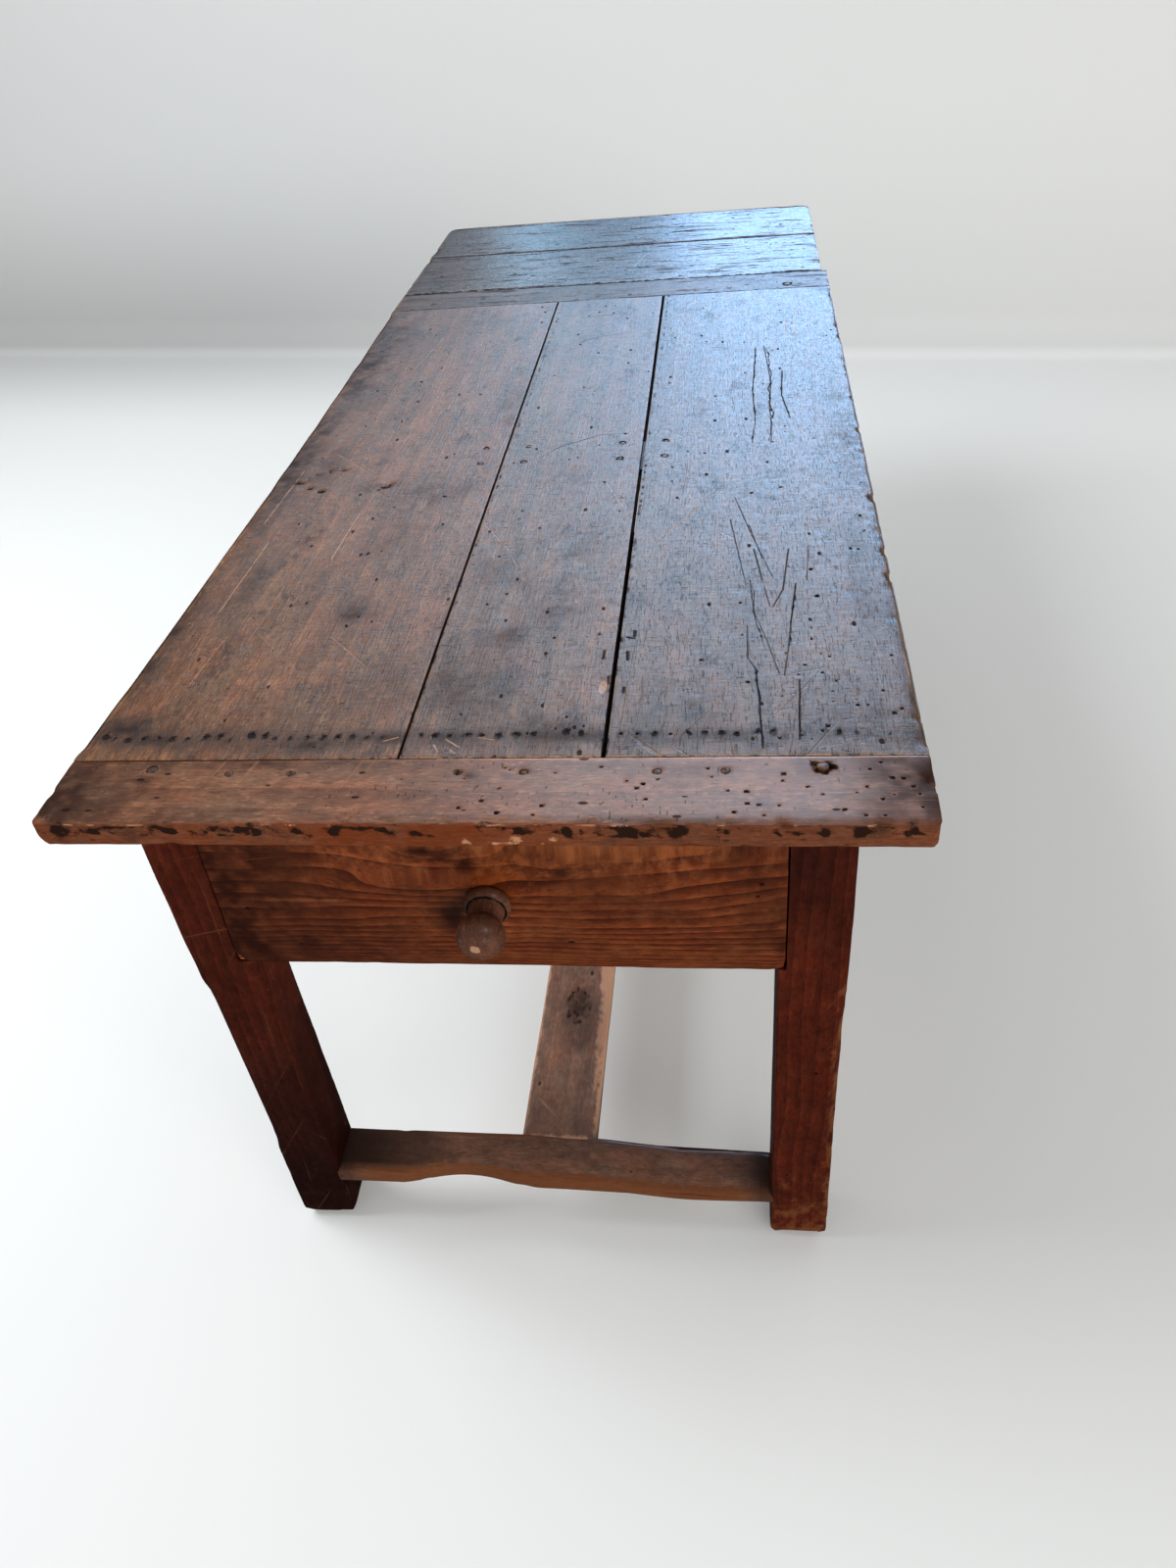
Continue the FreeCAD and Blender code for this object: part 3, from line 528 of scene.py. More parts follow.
class Tree:
    """Short calls that add nodes to a node tree; a value may be a socket or a constant."""

    def __init__(self, tree):
        self.tree = tree

    def give(self, made, inputs):
        """Sets the inputs of a node, by a link where the value is a socket."""
        for key, value in inputs.items():
            if isinstance(value, bpy.types.NodeSocket):
                self.tree.links.new(value, made.inputs[key])
            else:
                made.inputs[key].default_value = value

    def node(self, kind, inputs=None, **settings):
        made = self.tree.nodes.new(kind)
        for key, value in settings.items():
            setattr(made, key, value)
        self.give(made, inputs or {})
        return made

    def shared(self, name, inputs):
        """The outputs of a group that several materials use; the first use builds it."""
        made = bpy.data.node_groups.get(name) or GROUPS[name](name)
        return self.node("ShaderNodeGroup", inputs, node_tree=made).outputs

    def attribute(self, key, output="Fac"):
        return self.node("ShaderNodeAttribute", attribute_name=key).outputs[output]

    def math(self, operation, a, b):
        return self.node("ShaderNodeMath", {0: a, 1: b}, operation=operation).outputs[0]

    def times(self, a, b):
        return self.math("MULTIPLY", a, b)

    def plus(self, a, b):
        return self.math("ADD", a, b)

    def minus(self, a, b):
        return self.math("SUBTRACT", a, b)

    def most(self, a, b):
        return self.math("MAXIMUM", a, b)

    def vector(self, operation, a, b, output=0):
        return self.node("ShaderNodeVectorMath", {0: a, 1: b}, operation=operation).outputs[output]

    def dot(self, a, b):
        return self.vector("DOT_PRODUCT", a, b, "Value")

    def mix(self, share, a, b, blend="MIX"):
        a, b = [(*c, 1) if isinstance(c, (tuple, list)) else c for c in (a, b)]
        mixed = self.node("ShaderNodeMix", {0: share, 6: a, 7: b}, data_type="RGBA", blend_type=blend)
        return mixed.outputs[2]

    def washed(self, tone, *layers):
        """A tone under layers of others, each with its mask and share."""
        for mask, share, other in layers:
            tone = self.mix(self.times(mask, share), tone, other)
        return tone

    def worst(self, flaw, *layers):
        """The strongest of several masks, each with its share."""
        for mask, share in layers:
            flaw = self.most(flaw, self.times(mask, share))
        return flaw

    def between(self, value, low, high, start=0.0, end=1.0):
        return self.node("ShaderNodeMapRange", {0: value, 1: low, 2: high, 3: start, 4: end},
                         interpolation_type="SMOOTHSTEP").outputs[0]

    def scaled(self, vector, scale, turn=0.0):
        mapping = {"Vector": vector, "Scale": scale, "Rotation": (0, 0, turn)}
        return self.node("ShaderNodeMapping", mapping).outputs[0]

    def noise(self, vector, scale, detail=3.0, rough=0.55, distortion=0.0):
        return self.node("ShaderNodeTexNoise", {"Vector": vector, "Scale": scale, "Detail": detail,
                                                "Roughness": rough, "Distortion": distortion}).outputs[0]


def group(name, inputs, outputs):
    """An empty shader group and its ends. An input without a default is a vector, any other a value."""
    made = bpy.data.node_groups.new(name, "ShaderNodeTree")
    for label, default in inputs.items():
        kind = "NodeSocketVector" if default is None else "NodeSocketFloat"
        socket = made.interface.new_socket(label, in_out="INPUT", socket_type=kind)
        if default is not None:
            socket.default_value = default
    for label in outputs:
        made.interface.new_socket(label, in_out="OUTPUT", socket_type="NodeSocketFloat")
    tree = Tree(made)
    return made, tree, tree.node("NodeGroupInput").outputs, tree.node("NodeGroupOutput")


def wood_grain_group(name):
    """Fibres, growth rings and pores that run along the second coordinate."""
    inputs = {"Coordinates": None, "Ring Scale": 9.0, "Ring Warp": 5.0, "Fibre Scale": 420.0}
    made, tree, given, result = group(name, inputs, ["Fibres", "Shorts", "Rings", "Pores"])
    drawn, short, swaying, porous = [tree.scaled(given["Coordinates"], (1, share, 1))
                                     for share in (0.045, 0.16, 0.22, 0.09)]
    fibres = tree.noise(drawn, given["Fibre Scale"], 4, 0.62)
    shorts = tree.noise(short, given["Fibre Scale"], 4, 0.7)
    sway = tree.noise(swaying, 7.0, 2, 0.5)
    rings = tree.node("ShaderNodeTexWave", {"Vector": tree.vector("ADD", drawn, tree.times(sway, 0.06)),
                                            "Scale": given["Ring Scale"], "Distortion": given["Ring Warp"],
                                            "Detail": 2.0, "Detail Scale": 1.4, "Detail Roughness": 0.55},
                      wave_profile="SAW").outputs[1]
    pores = tree.noise(porous, 760.0, 2, 0.5)
    tree.give(result, {"Fibres": tree.between(fibres, 0.22, 0.8),
                       "Shorts": tree.between(shorts, 0.4, 0.61),
                       "Rings": rings,
                       "Pores": tree.between(pores, 0.6, 0.7)})
    return made


def patina_group(name):
    """Blotches, small pits, scratches and streaks of an old surface."""
    labels = ["Blotches", "Smudges", "Pits", "Scratches", "Scrapes", "Mottle", "Dashes", "Hue", "Flecks",
              "Streaks"]
    made, tree, given, result = group(name, {"Coordinates": None, "Pit Share": 0.22}, labels)
    at = given["Coordinates"]

    def layer(stretch, scale, *look):
        return tree.noise(tree.scaled(at, stretch), scale, *look)

    blotches = layer((1, 0.45, 1), 16.0, 5, 0.62, 0.6)
    cells = tree.node("ShaderNodeTexVoronoi", {"Vector": tree.scaled(at, (1, 0.5, 1)), "Scale": 115.0})
    chosen = tree.node("ShaderNodeSeparateColor", {"Color": cells.outputs["Color"]}).outputs[0]
    size = tree.times(tree.between(chosen, tree.minus(1.0, given["Pit Share"]), 1.0), 0.3)
    scratches = 0.0
    for turn, thin in ((0.55, 140.0), (-0.75, 120.0), (1.3, 150.0), (0.04, 190.0)):
        turned = tree.scaled(at, (1, 1, 1), turn)
        streak = tree.noise(tree.scaled(turned, (thin, 4.0, thin)), 1.0, 1.5, 0.5)
        scratches = tree.most(scratches, tree.between(streak, 0.7, 0.76))
    cloud = layer((1, 0.6, 1), 4.2, 3, 0.5)
    dashes = tree.between(layer((95, 330, 95), 1.0, 1.5, 0.5), 0.66, 0.73)
    tree.give(result, {
        "Blotches": tree.between(blotches, 0.32, 0.68),
        "Smudges": tree.between(layer((1, 0.5, 1), 26.0, 7, 0.74), 0.52, 0.68),
        "Pits": tree.between(tree.minus(size, cells.outputs["Distance"]), 0.0, 0.09),
        "Scratches": tree.times(scratches, tree.between(cloud, 0.44, 0.58)),
        "Scrapes": layer((60, 190, 60), 1.0, 3, 0.6),
        "Mottle": tree.between(layer((1, 0.7, 1), 95.0, 6, 0.7), 0.3, 0.7),
        "Dashes": tree.times(dashes, tree.between(blotches, 0.66, 0.4)),
        "Hue": tree.between(layer((1, 0.4, 1), 30.0, 4, 0.6), 0.34, 0.66),
        "Flecks": tree.between(layer((1, 0.3, 1), 300.0, 3, 0.65), 0.56, 0.7),
        "Streaks": tree.between(layer((85, 9, 85), 1.0, 5, 0.66), 0.54, 0.66)})
    return made


def line_group(name):
    """A thin line between two places, as a mask."""
    inputs = {"Coordinates": None, "Start": None, "End": None, "Width": 0.001, "Broken": 1.0}
    made, tree, given, result = group(name, inputs, ["Line"])
    gap = tree.vector("SUBTRACT", given["Coordinates"], given["Start"])
    span = tree.vector("SUBTRACT", given["End"], given["Start"])
    share = tree.math("DIVIDE", tree.dot(gap, span), tree.dot(span, span))
    share = tree.node("ShaderNodeClamp", {"Value": share}).outputs[0]
    scaled = tree.node("ShaderNodeVectorMath", {0: span, "Scale": share}, operation="SCALE").outputs[0]
    away = tree.vector("SUBTRACT", gap, scaled)
    reach = tree.node("ShaderNodeVectorMath", {0: away}, operation="LENGTH").outputs["Value"]
    line = tree.between(tree.math("DIVIDE", reach, given["Width"]), 1.0, 0.2)
    thin = tree.between(tree.noise(given["Coordinates"], 160.0, 2, 0.6), 0.35, 0.55)
    left_out = tree.times(tree.minus(1.0, thin), given["Broken"])
    tree.give(result, {"Line": tree.times(line, tree.minus(1.0, left_out))})
    return made


GROUPS = {"wood_grain": wood_grain_group, "old_patina": patina_group, "scratch_line": line_group}

# How broken a drawn line is, how strong, and its tone
LINE_KINDS = {"scratch": (0.55, 0.9, "pale"), "score": (0.35, 0.75, "black"), "split": (0.2, 0.95, "black")}


def new_material(name):
    """A material, its node tree and its shader."""
    material = bpy.data.materials.new(name)
    material.use_nodes = True
    return material, Tree(material.node_tree), material.node_tree.nodes["Principled BSDF"]


def shaded(tone, share):
    """A tone made darker or lighter."""
    return tuple(min(1, c * share) for c in tone)


def wood(name, tones, along=None, lines=(), rub=None, coat=None, sheen=0.5, rough=(0.34, 0.5), relief=0.35,
         rings=9.0, warp=5.0, fibre=420.0, fibre_share=1.0, ring_share=0.35, ring_fade=0.0, ridges=0.0,
         blotch_share=0.55, hue_share=0.6, pits=0.22, scratch=0.25, dash=0.7, fleck=0.25, smudge=0.0,
         streak=0.0, worn=0.6, pale=1.1, line_pale=1.1):
    """An old wood finish.

    along is the axis of the grain on a CAD solid; boards made here carry their own grain. lines are drawn
    scratches, scores and splits, with one painted highlight drawn as a pale scratch on the near breadboard;
    rub is the tone of rubbed wood, and coat is the roughness of the polish on a polished board.
    """
    name = "aged_" + name
    if name in bpy.data.materials:
        return bpy.data.materials[name]
    dark, mid, light = tones
    black = shaded(dark, 0.35)
    line_tones = {"pale": shaded(light, line_pale), "black": black}
    material, tree, shader = new_material(name)
    if along is None:
        at = tree.attribute("grain", "Vector")
        stain, edge, dirt, bare = [tree.attribute(key) for key in ("stain", "wear", "dirt", "bare")]
    else:
        turns = {X: (0, 0, math.pi / 2), Y: (0, 0, 0), Z: (math.pi / 2, 0, 0)}
        place = tree.node("ShaderNodeTexCoord").outputs["Object"]
        at = tree.node("ShaderNodeMapping", {"Vector": place, "Rotation": turns[along]}).outputs[0]
    grain = tree.shared("wood_grain", {"Coordinates": at, "Ring Scale": rings, "Ring Warp": warp,
                                       "Fibre Scale": fibre})
    old = tree.shared("old_patina", {"Coordinates": at, "Pit Share": pits})
    fibres, shorts, ring_tone, pores = [grain[k] for k in ("Fibres", "Shorts", "Rings", "Pores")]
    smudges, pit, scratches, scrapes, mottle, dashes, hue = [old[k] for k in (
        "Smudges", "Pits", "Scratches", "Scrapes", "Mottle", "Dashes", "Hue")]
    streaks = tree.times(old["Streaks"], streak)
    strands = tree.plus(tree.times(fibres, 0.45), tree.times(shorts, 0.55))
    seen_rings = tree.times(ring_share, tree.between(hue, 0.0, 1.0, 1.0 - ring_fade, 1.0))
    tone = tree.washed(mid, (strands, fibre_share, light), (ring_tone, seen_rings, dark),
                       (tree.minus(1.0, old["Blotches"]), blotch_share, dark), (smudges, smudge, dark),
                       (mottle, 0.45, dark), (pores, 0.45, dark), (dashes, dash, dark),
                       (old["Flecks"], fleck, light))
    lean = tree.mix(hue, (0.84, 0.98, 1.08), (1.16, 0.96, 0.86))
    tone = tree.mix(hue_share, tone, tree.mix(1.0, tone, lean, "MULTIPLY"))
    # Darker by the dirt value: grime, and painted shade where a board is given it.
    if along is None:
        tone = tree.mix(dirt, tone, shaded(dark, 0.65))
    tone = tree.washed(tone, (scratches, scratch, light), (pit, 0.85, black), (streaks, 1.0, dark))
    flaw = tree.worst(pit, (dashes, dash), (pores, 0.15), (smudges, smudge * 0.35), (streaks, 1.0))
    height = tree.times(fibres, 0.25)
    for mask, lift in ((pores, -0.35), (pit, -1.6), (streaks, -0.9), (scratches, -0.5), (scrapes, 0.55),
                       (dashes, -dash), (ring_tone, ridges)):
        height = tree.plus(height, tree.times(mask, lift))
    if along is None:
        rubbed = tree.between(tree.minus(edge, tree.times(mottle, 0.45)), 0.0, 0.55)
        rubbed = tree.times(rubbed, tree.minus(1.0, dirt))
        tone = tree.washed(tone, (rubbed, worn, tree.washed(rub or light, (strands, 0.08, light))))
        stained = tree.between(tree.plus(stain, tree.times(tree.minus(mottle, 0.5), 0.7)), 0.36, 0.8)
        flaw = tree.worst(flaw, (stained, 1.0), (dirt, 0.65), (rubbed, 0.15))
        # Pale where the wood is bare, and where a painted highlight is laid into the same value.
        split = tree.times(bare, tree.between(mottle, 0.95, 0.35))
        tone = tree.mix(stained, tone, black)
        tone = tree.mix(tree.between(split, 0.25, 0.6), tone, shaded(light, pale))
    for start, end, width, kind in lines:
        broken, share, line_tone = LINE_KINDS[kind]
        line = tree.shared("scratch_line", {"Coordinates": at, "Start": start, "End": end, "Width": width,
                                            "Broken": broken})[0]
        tone = tree.washed(tone, (line, share, line_tones[line_tone]))
        height = tree.plus(height, tree.times(line, -0.8))
        if line_tone == "black":
            flaw = tree.worst(flaw, (line, share))
    gloss = tree.plus(tree.times(scrapes, 0.6), tree.times(shorts, 0.4))
    span = tree.between(gloss, 0.15, 0.75, *rough)
    if coat is not None:
        polish = tree.times(tree.attribute("gloss"), tree.between(flaw, 0.0, 1.0, 1.0, 0.15))
        tree.give(shader, {"Coat Weight": polish, "Coat Roughness": coat})
    bump = tree.node("ShaderNodeBump", {"Height": height, "Strength": relief, "Distance": BUMP_DEPTH})
    tree.give(shader, {"Base Color": tone, "Roughness": tree.between(flaw, 0.0, 1.0, span, 1.0),
                       "Normal": bump.outputs[0], "Specular IOR Level": sheen})
    return material


def tinted(tones, tint):
    """The same tones, leaned towards a tint."""
    return [tuple(min(1.0, a * b) for a, b in zip(t, tint)) for t in tones]


def tones_of(prefix):
    values = finish()
    return [tuple(getattr(values, prefix + "_" + step)) for step in ("dark", "mid", "light")]


def top_wood(name, tint=(1, 1, 1), **more):
    return wood(name, tinted(tones_of("top"), tint), **more)


def leg_wood(along=None):
    name = "leg_wood" if along is None else "leg_wood_" + "xyz"[along]
    return wood(name, tones_of("leg"), along, rings=22, warp=4, ring_share=0.45, blotch_share=0.45,
                pits=0.03, scratch=0.12, worn=0.85, rough=(0.3, 0.44), relief=0.25, fibre_share=0.1,
                sheen=0.2, dash=0.15, fleck=0.03, hue_share=0.5, smudge=0.45, rub=(0.13, 0.044, 0.013))


def rail_wood(name="stretcher_wood", tint=(1.38, 1.45, 1.7), rub=(0.115, 0.034, 0.009), lines=(), sheen=0.15,
              coat=0.16):
    return wood(name, tinted(tones_of("rail"), tint), rings=10, warp=4, ring_share=0.25, blotch_share=0.5,
                pits=0.16, scratch=0.3, worn=0.9, relief=0.45, dash=0.5, fibre_share=0.5, smudge=0.45,
                rub=rub, lines=lines, sheen=sheen, coat=coat)


def inside_pine(along):
    return wood("inside_pine_" + "xyz"[along], tones_of("inside"), along, rings=16, warp=3, ring_share=0.4,
                blotch_share=0.25, pits=0.05, scratch=0.1, rough=(0.55, 0.7), relief=0.2)


def iron():
    """Old forged iron with a brown bloom."""
    if "aged_iron" in bpy.data.materials:
        return bpy.data.materials["aged_iron"]
    material, tree, shader = new_material("aged_iron")
    bloom = tree.noise(tree.node("ShaderNodeTexCoord").outputs["Object"], 420.0, 4, 0.6)
    rust = tree.mix(tree.between(bloom, 0.42, 0.62), tuple(finish().iron), (0.1, 0.036, 0.014))
    bump = tree.node("ShaderNodeBump", {"Height": bloom, "Strength": 0.4, "Distance": 0.0008})
    tree.give(shader, {"Base Color": rust, "Roughness": tree.between(bloom, 0.3, 0.7, 0.45, 0.8),
                       "Normal": bump.outputs[0], "Metallic": 0.85})
    return material


# Marks on the top, as places in millimetres across and along the table

# Knots: place, half sizes across and along, depth, darkness
KNOTS = ((-357, -300, 12, 3.5, 2.5, 0.8), (-340, -275, 10, 4, 2.2, 0.75), (-322, -262, 9, 3, 2.6, 0.9),
         (-303, -264, 8, 3, 2.4, 0.85), (-338, -318, 8, 3.5, 3.0, 1.1), (-318, -329, 6, 4, 3.2, 1.1),
         (-232, -322, 7, 4, 3.0, 1.15), (-226, -315, 5, 6, 3.0, 1.1), (-238, -330, 5, 5, 1.5, 0.7))
# Soiled areas of the planks and of the near breadboard: place, half sizes across and along, strength
SOILED = ((-335, -285, 34, 34, 0.45), (-250, -322, 26, 20, 0.6), (-150, -340, 60, 40, 0.45),
          (-180, -470, 50, 60, 0.35), (-250, 350, 90, 90, 0.3), (-30, -800, 55, 60, 0.45),
          (-53, -775, 30, 26, 0.45), (-4, -704, 30, 40, 0.4), (40, -640, 45, 90, 0.35),
          (-40, -560, 30, 60, 0.3), (60, -500, 40, 60, 0.3), (30, -300, 45, 70, 0.25),
          (180, -840, 60, 40, 0.35), (350, -860, 50, 60, 0.3), (370, -600, 30, 160, 0.3),
          (375, -200, 25, 220, 0.35), (-189, -646, 26, 34, 0.6), (-375, -860, 46, 30, 0.95),
          (-385, -700, 20, 160, 0.6), (-380, -200, 34, 300, 0.7), (-375, 200, 55, 300, 0.75),
          (-329, -231, 26, 50, 0.5), (58, -868, 50, 30, 0.6), (-186, -885, 90, 14, 0.6),
          (-337, -585, 20, 80, 0.4), (-120, -800, 40, 60, 0.35), (250, -650, 60, 80, 0.2),
          (-100, -100, 30, 200, 0.3))
SOILED_END = ((-400, -960, 100, 90, 0.85), (-300, -1000, 90, 20, 0.6), (400, -945, 80, 90, 0.9),
              (250, -1000, 130, 12, 0.4), (300, -925, 40, 25, 0.45), (-150, -960, 50, 14, 0.25),
              (200, -930, 50, 12, 0.3), (-250, -915, 160, 10, 0.5), (340, -1000, 60, 30, 0.6),
              (-320, -940, 16, 7, 0.9), (-345, -965, 10, 6, 0.8), (-5, -935, 7, 5, 0.8))
PIN_HOLES = ((257, -209), (288, -368), (315, -576), (288, -706), (237, -644), (318, -634), (309, -697),
             (252, -381), (-264, 62), (192, -257), (-143, -359), (81, -180), (256, -219), (-113, 410),
             (-105, 381), (-103, 327))
CRACKS = (((278, 145), (282, 55), (285, -7), (281, -105), (282, -172), (280, -233)),
          ((265, 140), (258, -46), (260, -156), (255, -230)), ((303, 31), (299, -66), (308, -150)),
          ((248, -598), (251, -663), (262, -713), (268, -745)), ((297, -607), (287, -706), (284, -740)),
          ((244, -752), (251, -770), (254, -822), (256, -898)), ((293, -790), (289, -885)))
SPLITS = CRACKS + (((268, -745), (274, -780)), ((284, -740), (279, -783)), ((244, -690), (244, -752)),
                   ((253, -527), (262, -606), (268, -653)), ((292, -529), (283, -619), (271, -655)))
SCRATCHES = (((133, 324), (155, 316), (184, 239)), ((162, 399), (189, 344)), ((191, 415), (224, 397)),
             ((259, 433), (277, 361), (292, 426)), ((331, 430), (337, 365), (305, 333)),
             ((336, 328), (326, 162)), ((315, 272), (314, 200)), ((-288, 119), (-268, 267)),
             ((-38, -880), (-23, -892)), ((-48, -888), (-42, -898)), ((-31, -896), (-25, -901)),
             ((-98, -882), (-85, -876)), ((-7, -877), (9, -881)), ((-82, -701), (-60, -707)),
             ((-73, -445), (-36, -507), (-18, -551)), ((-350, -640), (-345, -470)),
             ((-330, -780), (-322, -690)), ((-368, -420), (-362, -260)), ((-250, -520), (-246, -400)),
             ((63, -323), (94, -404)), ((150, -480), (185, -420)))
SCORES = (((-30, -247), (-7, -217), (45, -182), (83, -179)), ((-59, 190), (11, 232), (71, 249)),
          ((-37, 334), (45, 348)), ((-76, -716), (-60, -721)), ((232, -394), (248, -478), (272, -590)),
          ((248, -468), (262, -549)), ((315, -521), (309, -600)), ((226, -451), (244, -614)))
SLOTS = (((99, -733), (99, -747)), ((123, -736), (124, -751)), ((128, -697), (128, -707)),
         ((121, -709), (128, -711)), ((107, -780), (108, -792)), ((124, -800), (124, -808)))
# Drawn lines with their kind and half width
DRAWN = ((SCRATCHES, "scratch", 1.3 * MM), (SCORES, "score", 1.2 * MM), (SPLITS, "split", 1.4 * MM),
         (SLOTS, "split", 2.7 * MM))
EDGE_NICKS = ((400, -198), (398, -403), (400, -539), (400, -594), (400, 177))
END_NICK = (400, -942)
TACK_ROW = -872
SEAM_CHIP = (103, -797)
# Bruises of the near edge: place across the table, half length and depth below the top
BRUISES = ((-374, 14, 8), (-337, 16, 9), (-273, 20, 9), (-220, 18, 9), (-184, 14, 8), (-146, 8, 10),
           (-115, 7, 7), (-68, 9, 9), (-35, 12, 9), (19, 6, 7), (52, 10, 8), (92, 11, 9), (141, 20, 10),
           (183, 9, 8), (224, 8, 7), (275, 16, 9), (303, 6, 10), (335, 12, 9), (374, 10, 9))


def on_top(place):
    """A place in millimetres on the top, as a point of the table in metres."""
    return (place[0] * MM, place[1] * MM, CAD_BOX[1].z)


def peg_ends(*nodes):
    """The upper end and the radius of each peg of some nodes."""
    for node in nodes:
        for low, high in solids_of(node):
            middle = (low + high) / 2
            yield node, (middle[0], middle[1], high[2]), (high[0] - low[0]) / 2


def plank_span(node):
    """The lengthwise span of a plank's body and its edges at both ends, read from its solid."""
    points = np.array([v.co for v in frame["nodes"][node].data.vertices])
    face = points[points[:, 2] > CAD_BOX[1].z - CLOSE]
    near, far = face[:, 1].min(), face[:, 1].max()
    ends = []
    for y in (near, far):
        row = points[np.abs(points[:, 1] - y) < CLOSE]
        ends.append((row[:, 0].min(), row[:, 0].max()))
    return near, far, ends


class TABLE_OT_planks(bpy.types.Operator):
    """Three worn planks with skewed edges, drying cracks, tack holes and pits"""
    bl_idname = "table.planks"
    bl_label = "Planks"

    closed = 0.5 * MM
    # How many small holes, worm holes and dents are strewn over a plank
    pins, worm_holes, dents = 7, 26, 40
    shared = dict(blotch_share=0.35, smudge=0.7, fleck=0.5, relief=0.75, rough=(0.28, 0.44))
    looks = {
        "plank_left": dict(tint=(1.22, 1.09, 0.97), scratch=0.25, pits=0.09, line_pale=1.4, dash=0.6),
        "plank_middle": dict(tint=(1.02, 1.02, 1.06), scratch=0.3, pits=0.12, line_pale=1.7, dash=0.5),
        # The right plank's scratches are drawn very pale: scratched wood with a painted glint of the window
        # in them.
        "plank_right": dict(tint=(0.82, 0.87, 0.92), scratch=0.35, pits=0.14, line_pale=2.8, dash=0.4,
                            coat=0.16)}
    smudges = {"plank_left": 1.0, "plank_middle": 0.9, "plank_right": 0.75}

    def execute(self, context):
        for seed, node in enumerate(self.looks, start=11):
            self.plank(node, seed)
        return {"FINISHED"}

    def plank(self, node, seed):
        low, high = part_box(node)
        near, far, ends = plank_span(node)
        size = wear()
        board = Board((low.x, near - self.closed, low.z), (high.x, far + self.closed, high.z), (X, Y, Z),
                      radius=size.seam_arris, step=(0.0033, 0.0036), back_step=BACK_STEP, seed=seed)
        self.skew(board, ends)
        outer = unit((np.abs(board.across + board.centre[0]) - 0.36) / 0.03)
        inner_end = unit((board.half[1] - np.abs(board.along)) / 0.01 - 1)
        board.edge_share = outer * inner_end
        board.weather(size.wave, size.arris * 0.6, 0.0)
        bites = unit(board.noise((0.01, 0.011, 0.02), seed + 7) - 0.25)
        nicked = size.chip * 0.9 if node == "plank_right" else 0.0
        board.push(board.edge_share * board.near_arris(0.008) * (size.arris * 0.4 + nicked * bites))
        uneven = 1 + board.noise((0.02, 0.012, 0.02), seed + 8)
        board.push(0.3 * MM * outer * uneven * (board.facing > 0.5))
        if node == "plank_left":
            hollow = 1 - (board.along / board.half[1]) ** 2
            board.p[..., 0] += 6 * MM * hollow * unit(-board.across / board.half[0]) ** 4
        for place in EDGE_NICKS if node == "plank_right" else ():
            bite = board.spot(on_top(place), (5 * MM, 6 * MM))
            board.p[..., 0] -= 4 * MM * bite
            board.p[..., 2] -= 3 * MM * bite * (board.facing > 0)
            board.lay(gloss=0.5 * bite)
            board.mark(on_top(place), (2 * MM, 3 * MM), 0.5)
        self.marks(board, node, near, far, ends)
        # Painted highlight: a pale line along the near end of the plank, stronger towards the right.
        rim = bell(board.half[1] + board.along, 0.0014) * (board.facing > 0.1)
        board.lay(bare=rim * np.clip(0.75 + 1.2 * (board.p[..., 0] + board.centre[0]), 0.3, 1.2))
        lines = []
        for paths, kind, half_width in DRAWN:
            for path in paths:
                if self.holds(path[0], near, far, ends):
                    points = [board.grain_place(on_top(q)) for q in path]
                    lines += [(a, b, half_width, kind) for a, b in zip(points, points[1:])]
        material = top_wood(node + "_wood", lines=lines, **self.looks[node], **self.shared)
        board.build(node + "_board", material, node, "top_wood", wear_width=0.007)

    def skew(self, board, ends):
        """Moves the two long edges to where the solid has them at each end."""
        share = (board.along / board.half[1] + 1) / 2
        left, right = [a + (b - a) * share for a, b in zip(*ends)]
        across = (board.across / board.half[0] + 1) / 2
        board.p[..., 0] = left + (right - left) * across - board.centre[0]

    def holds(self, place, near, far, ends, margin=0.0):
        """Whether a place in millimetres lies between the plank's two edges."""
        share = (place[1] * MM - near) / (far - near)
        left, right = [(a + (b - a) * share) / MM for a, b in zip(*ends)]
        return left + margin < place[0] < right - margin

    def marks(self, board, node, near, far, ends):
        """Cracks, seams, knots, soiled areas, holes and dents."""
        low, high = ends[0][0] / MM + 6, ends[0][1] / MM - 6
        if node == "plank_right":
            for k, points in enumerate(CRACKS):
                board.crack([on_top(p) for p in points], (1.3 if k == 0 else 0.8) * MM, 5 * MM)
        for seam_x in [s for s in (low - 6, high + 6) if abs(s) < 300]:
            board.mark(on_top((seam_x, board.centre[1] / MM)), (2.5 * MM, 5.0), 0.5)
        for x, y, across, along, depth, dark in KNOTS:
            if low < x < high:
                board.dent(on_top((x, y)), (across * MM, along * MM), depth * MM)
                board.mark(on_top((x, y)), (across * MM, along * MM), dark)
        for x, y, across, along, strength in SOILED:
            if low < x < high:
                board.soil(on_top((x, y)), (across * MM, along * MM), strength)
        if self.holds(SEAM_CHIP, near, far, ends):
            torn = board.spot(on_top(SEAM_CHIP), (4 * MM, 13 * MM))
            board.lay(bare=1.1 * torn)
            board.push(2 * MM * torn * (board.facing > 0.5))
        for k, place in enumerate(PIN_HOLES):
            if self.holds(place, near, far, ends, 4):
                board.hole(on_top(place), (1.0 + 0.6 * (k % 3)) * MM, 5 * MM, ragged=0.2)
        for _, place, radius in peg_ends("plank_pegs", "top_pegs"):
            board.hole(place, radius, PEG_DEPTH, ragged=0.05, stain=0.7, spread=radius * 1.5)
        self.tacks(board, self.smudges[node], low, high)
        spread = np.random.default_rng(board.seed)
        for _ in range(self.pins):
            place = (spread.uniform(low + 10, high - 10), spread.uniform(-850, 410))
            board.hole(on_top(place), spread.uniform(0.5, 0.9) * MM, PIN_DEPTH)
        for _ in range(self.worm_holes if node == "plank_right" else 0):
            place = (385 - 150 * spread.uniform(0, 1) ** 1.5, spread.uniform(-895, -740))
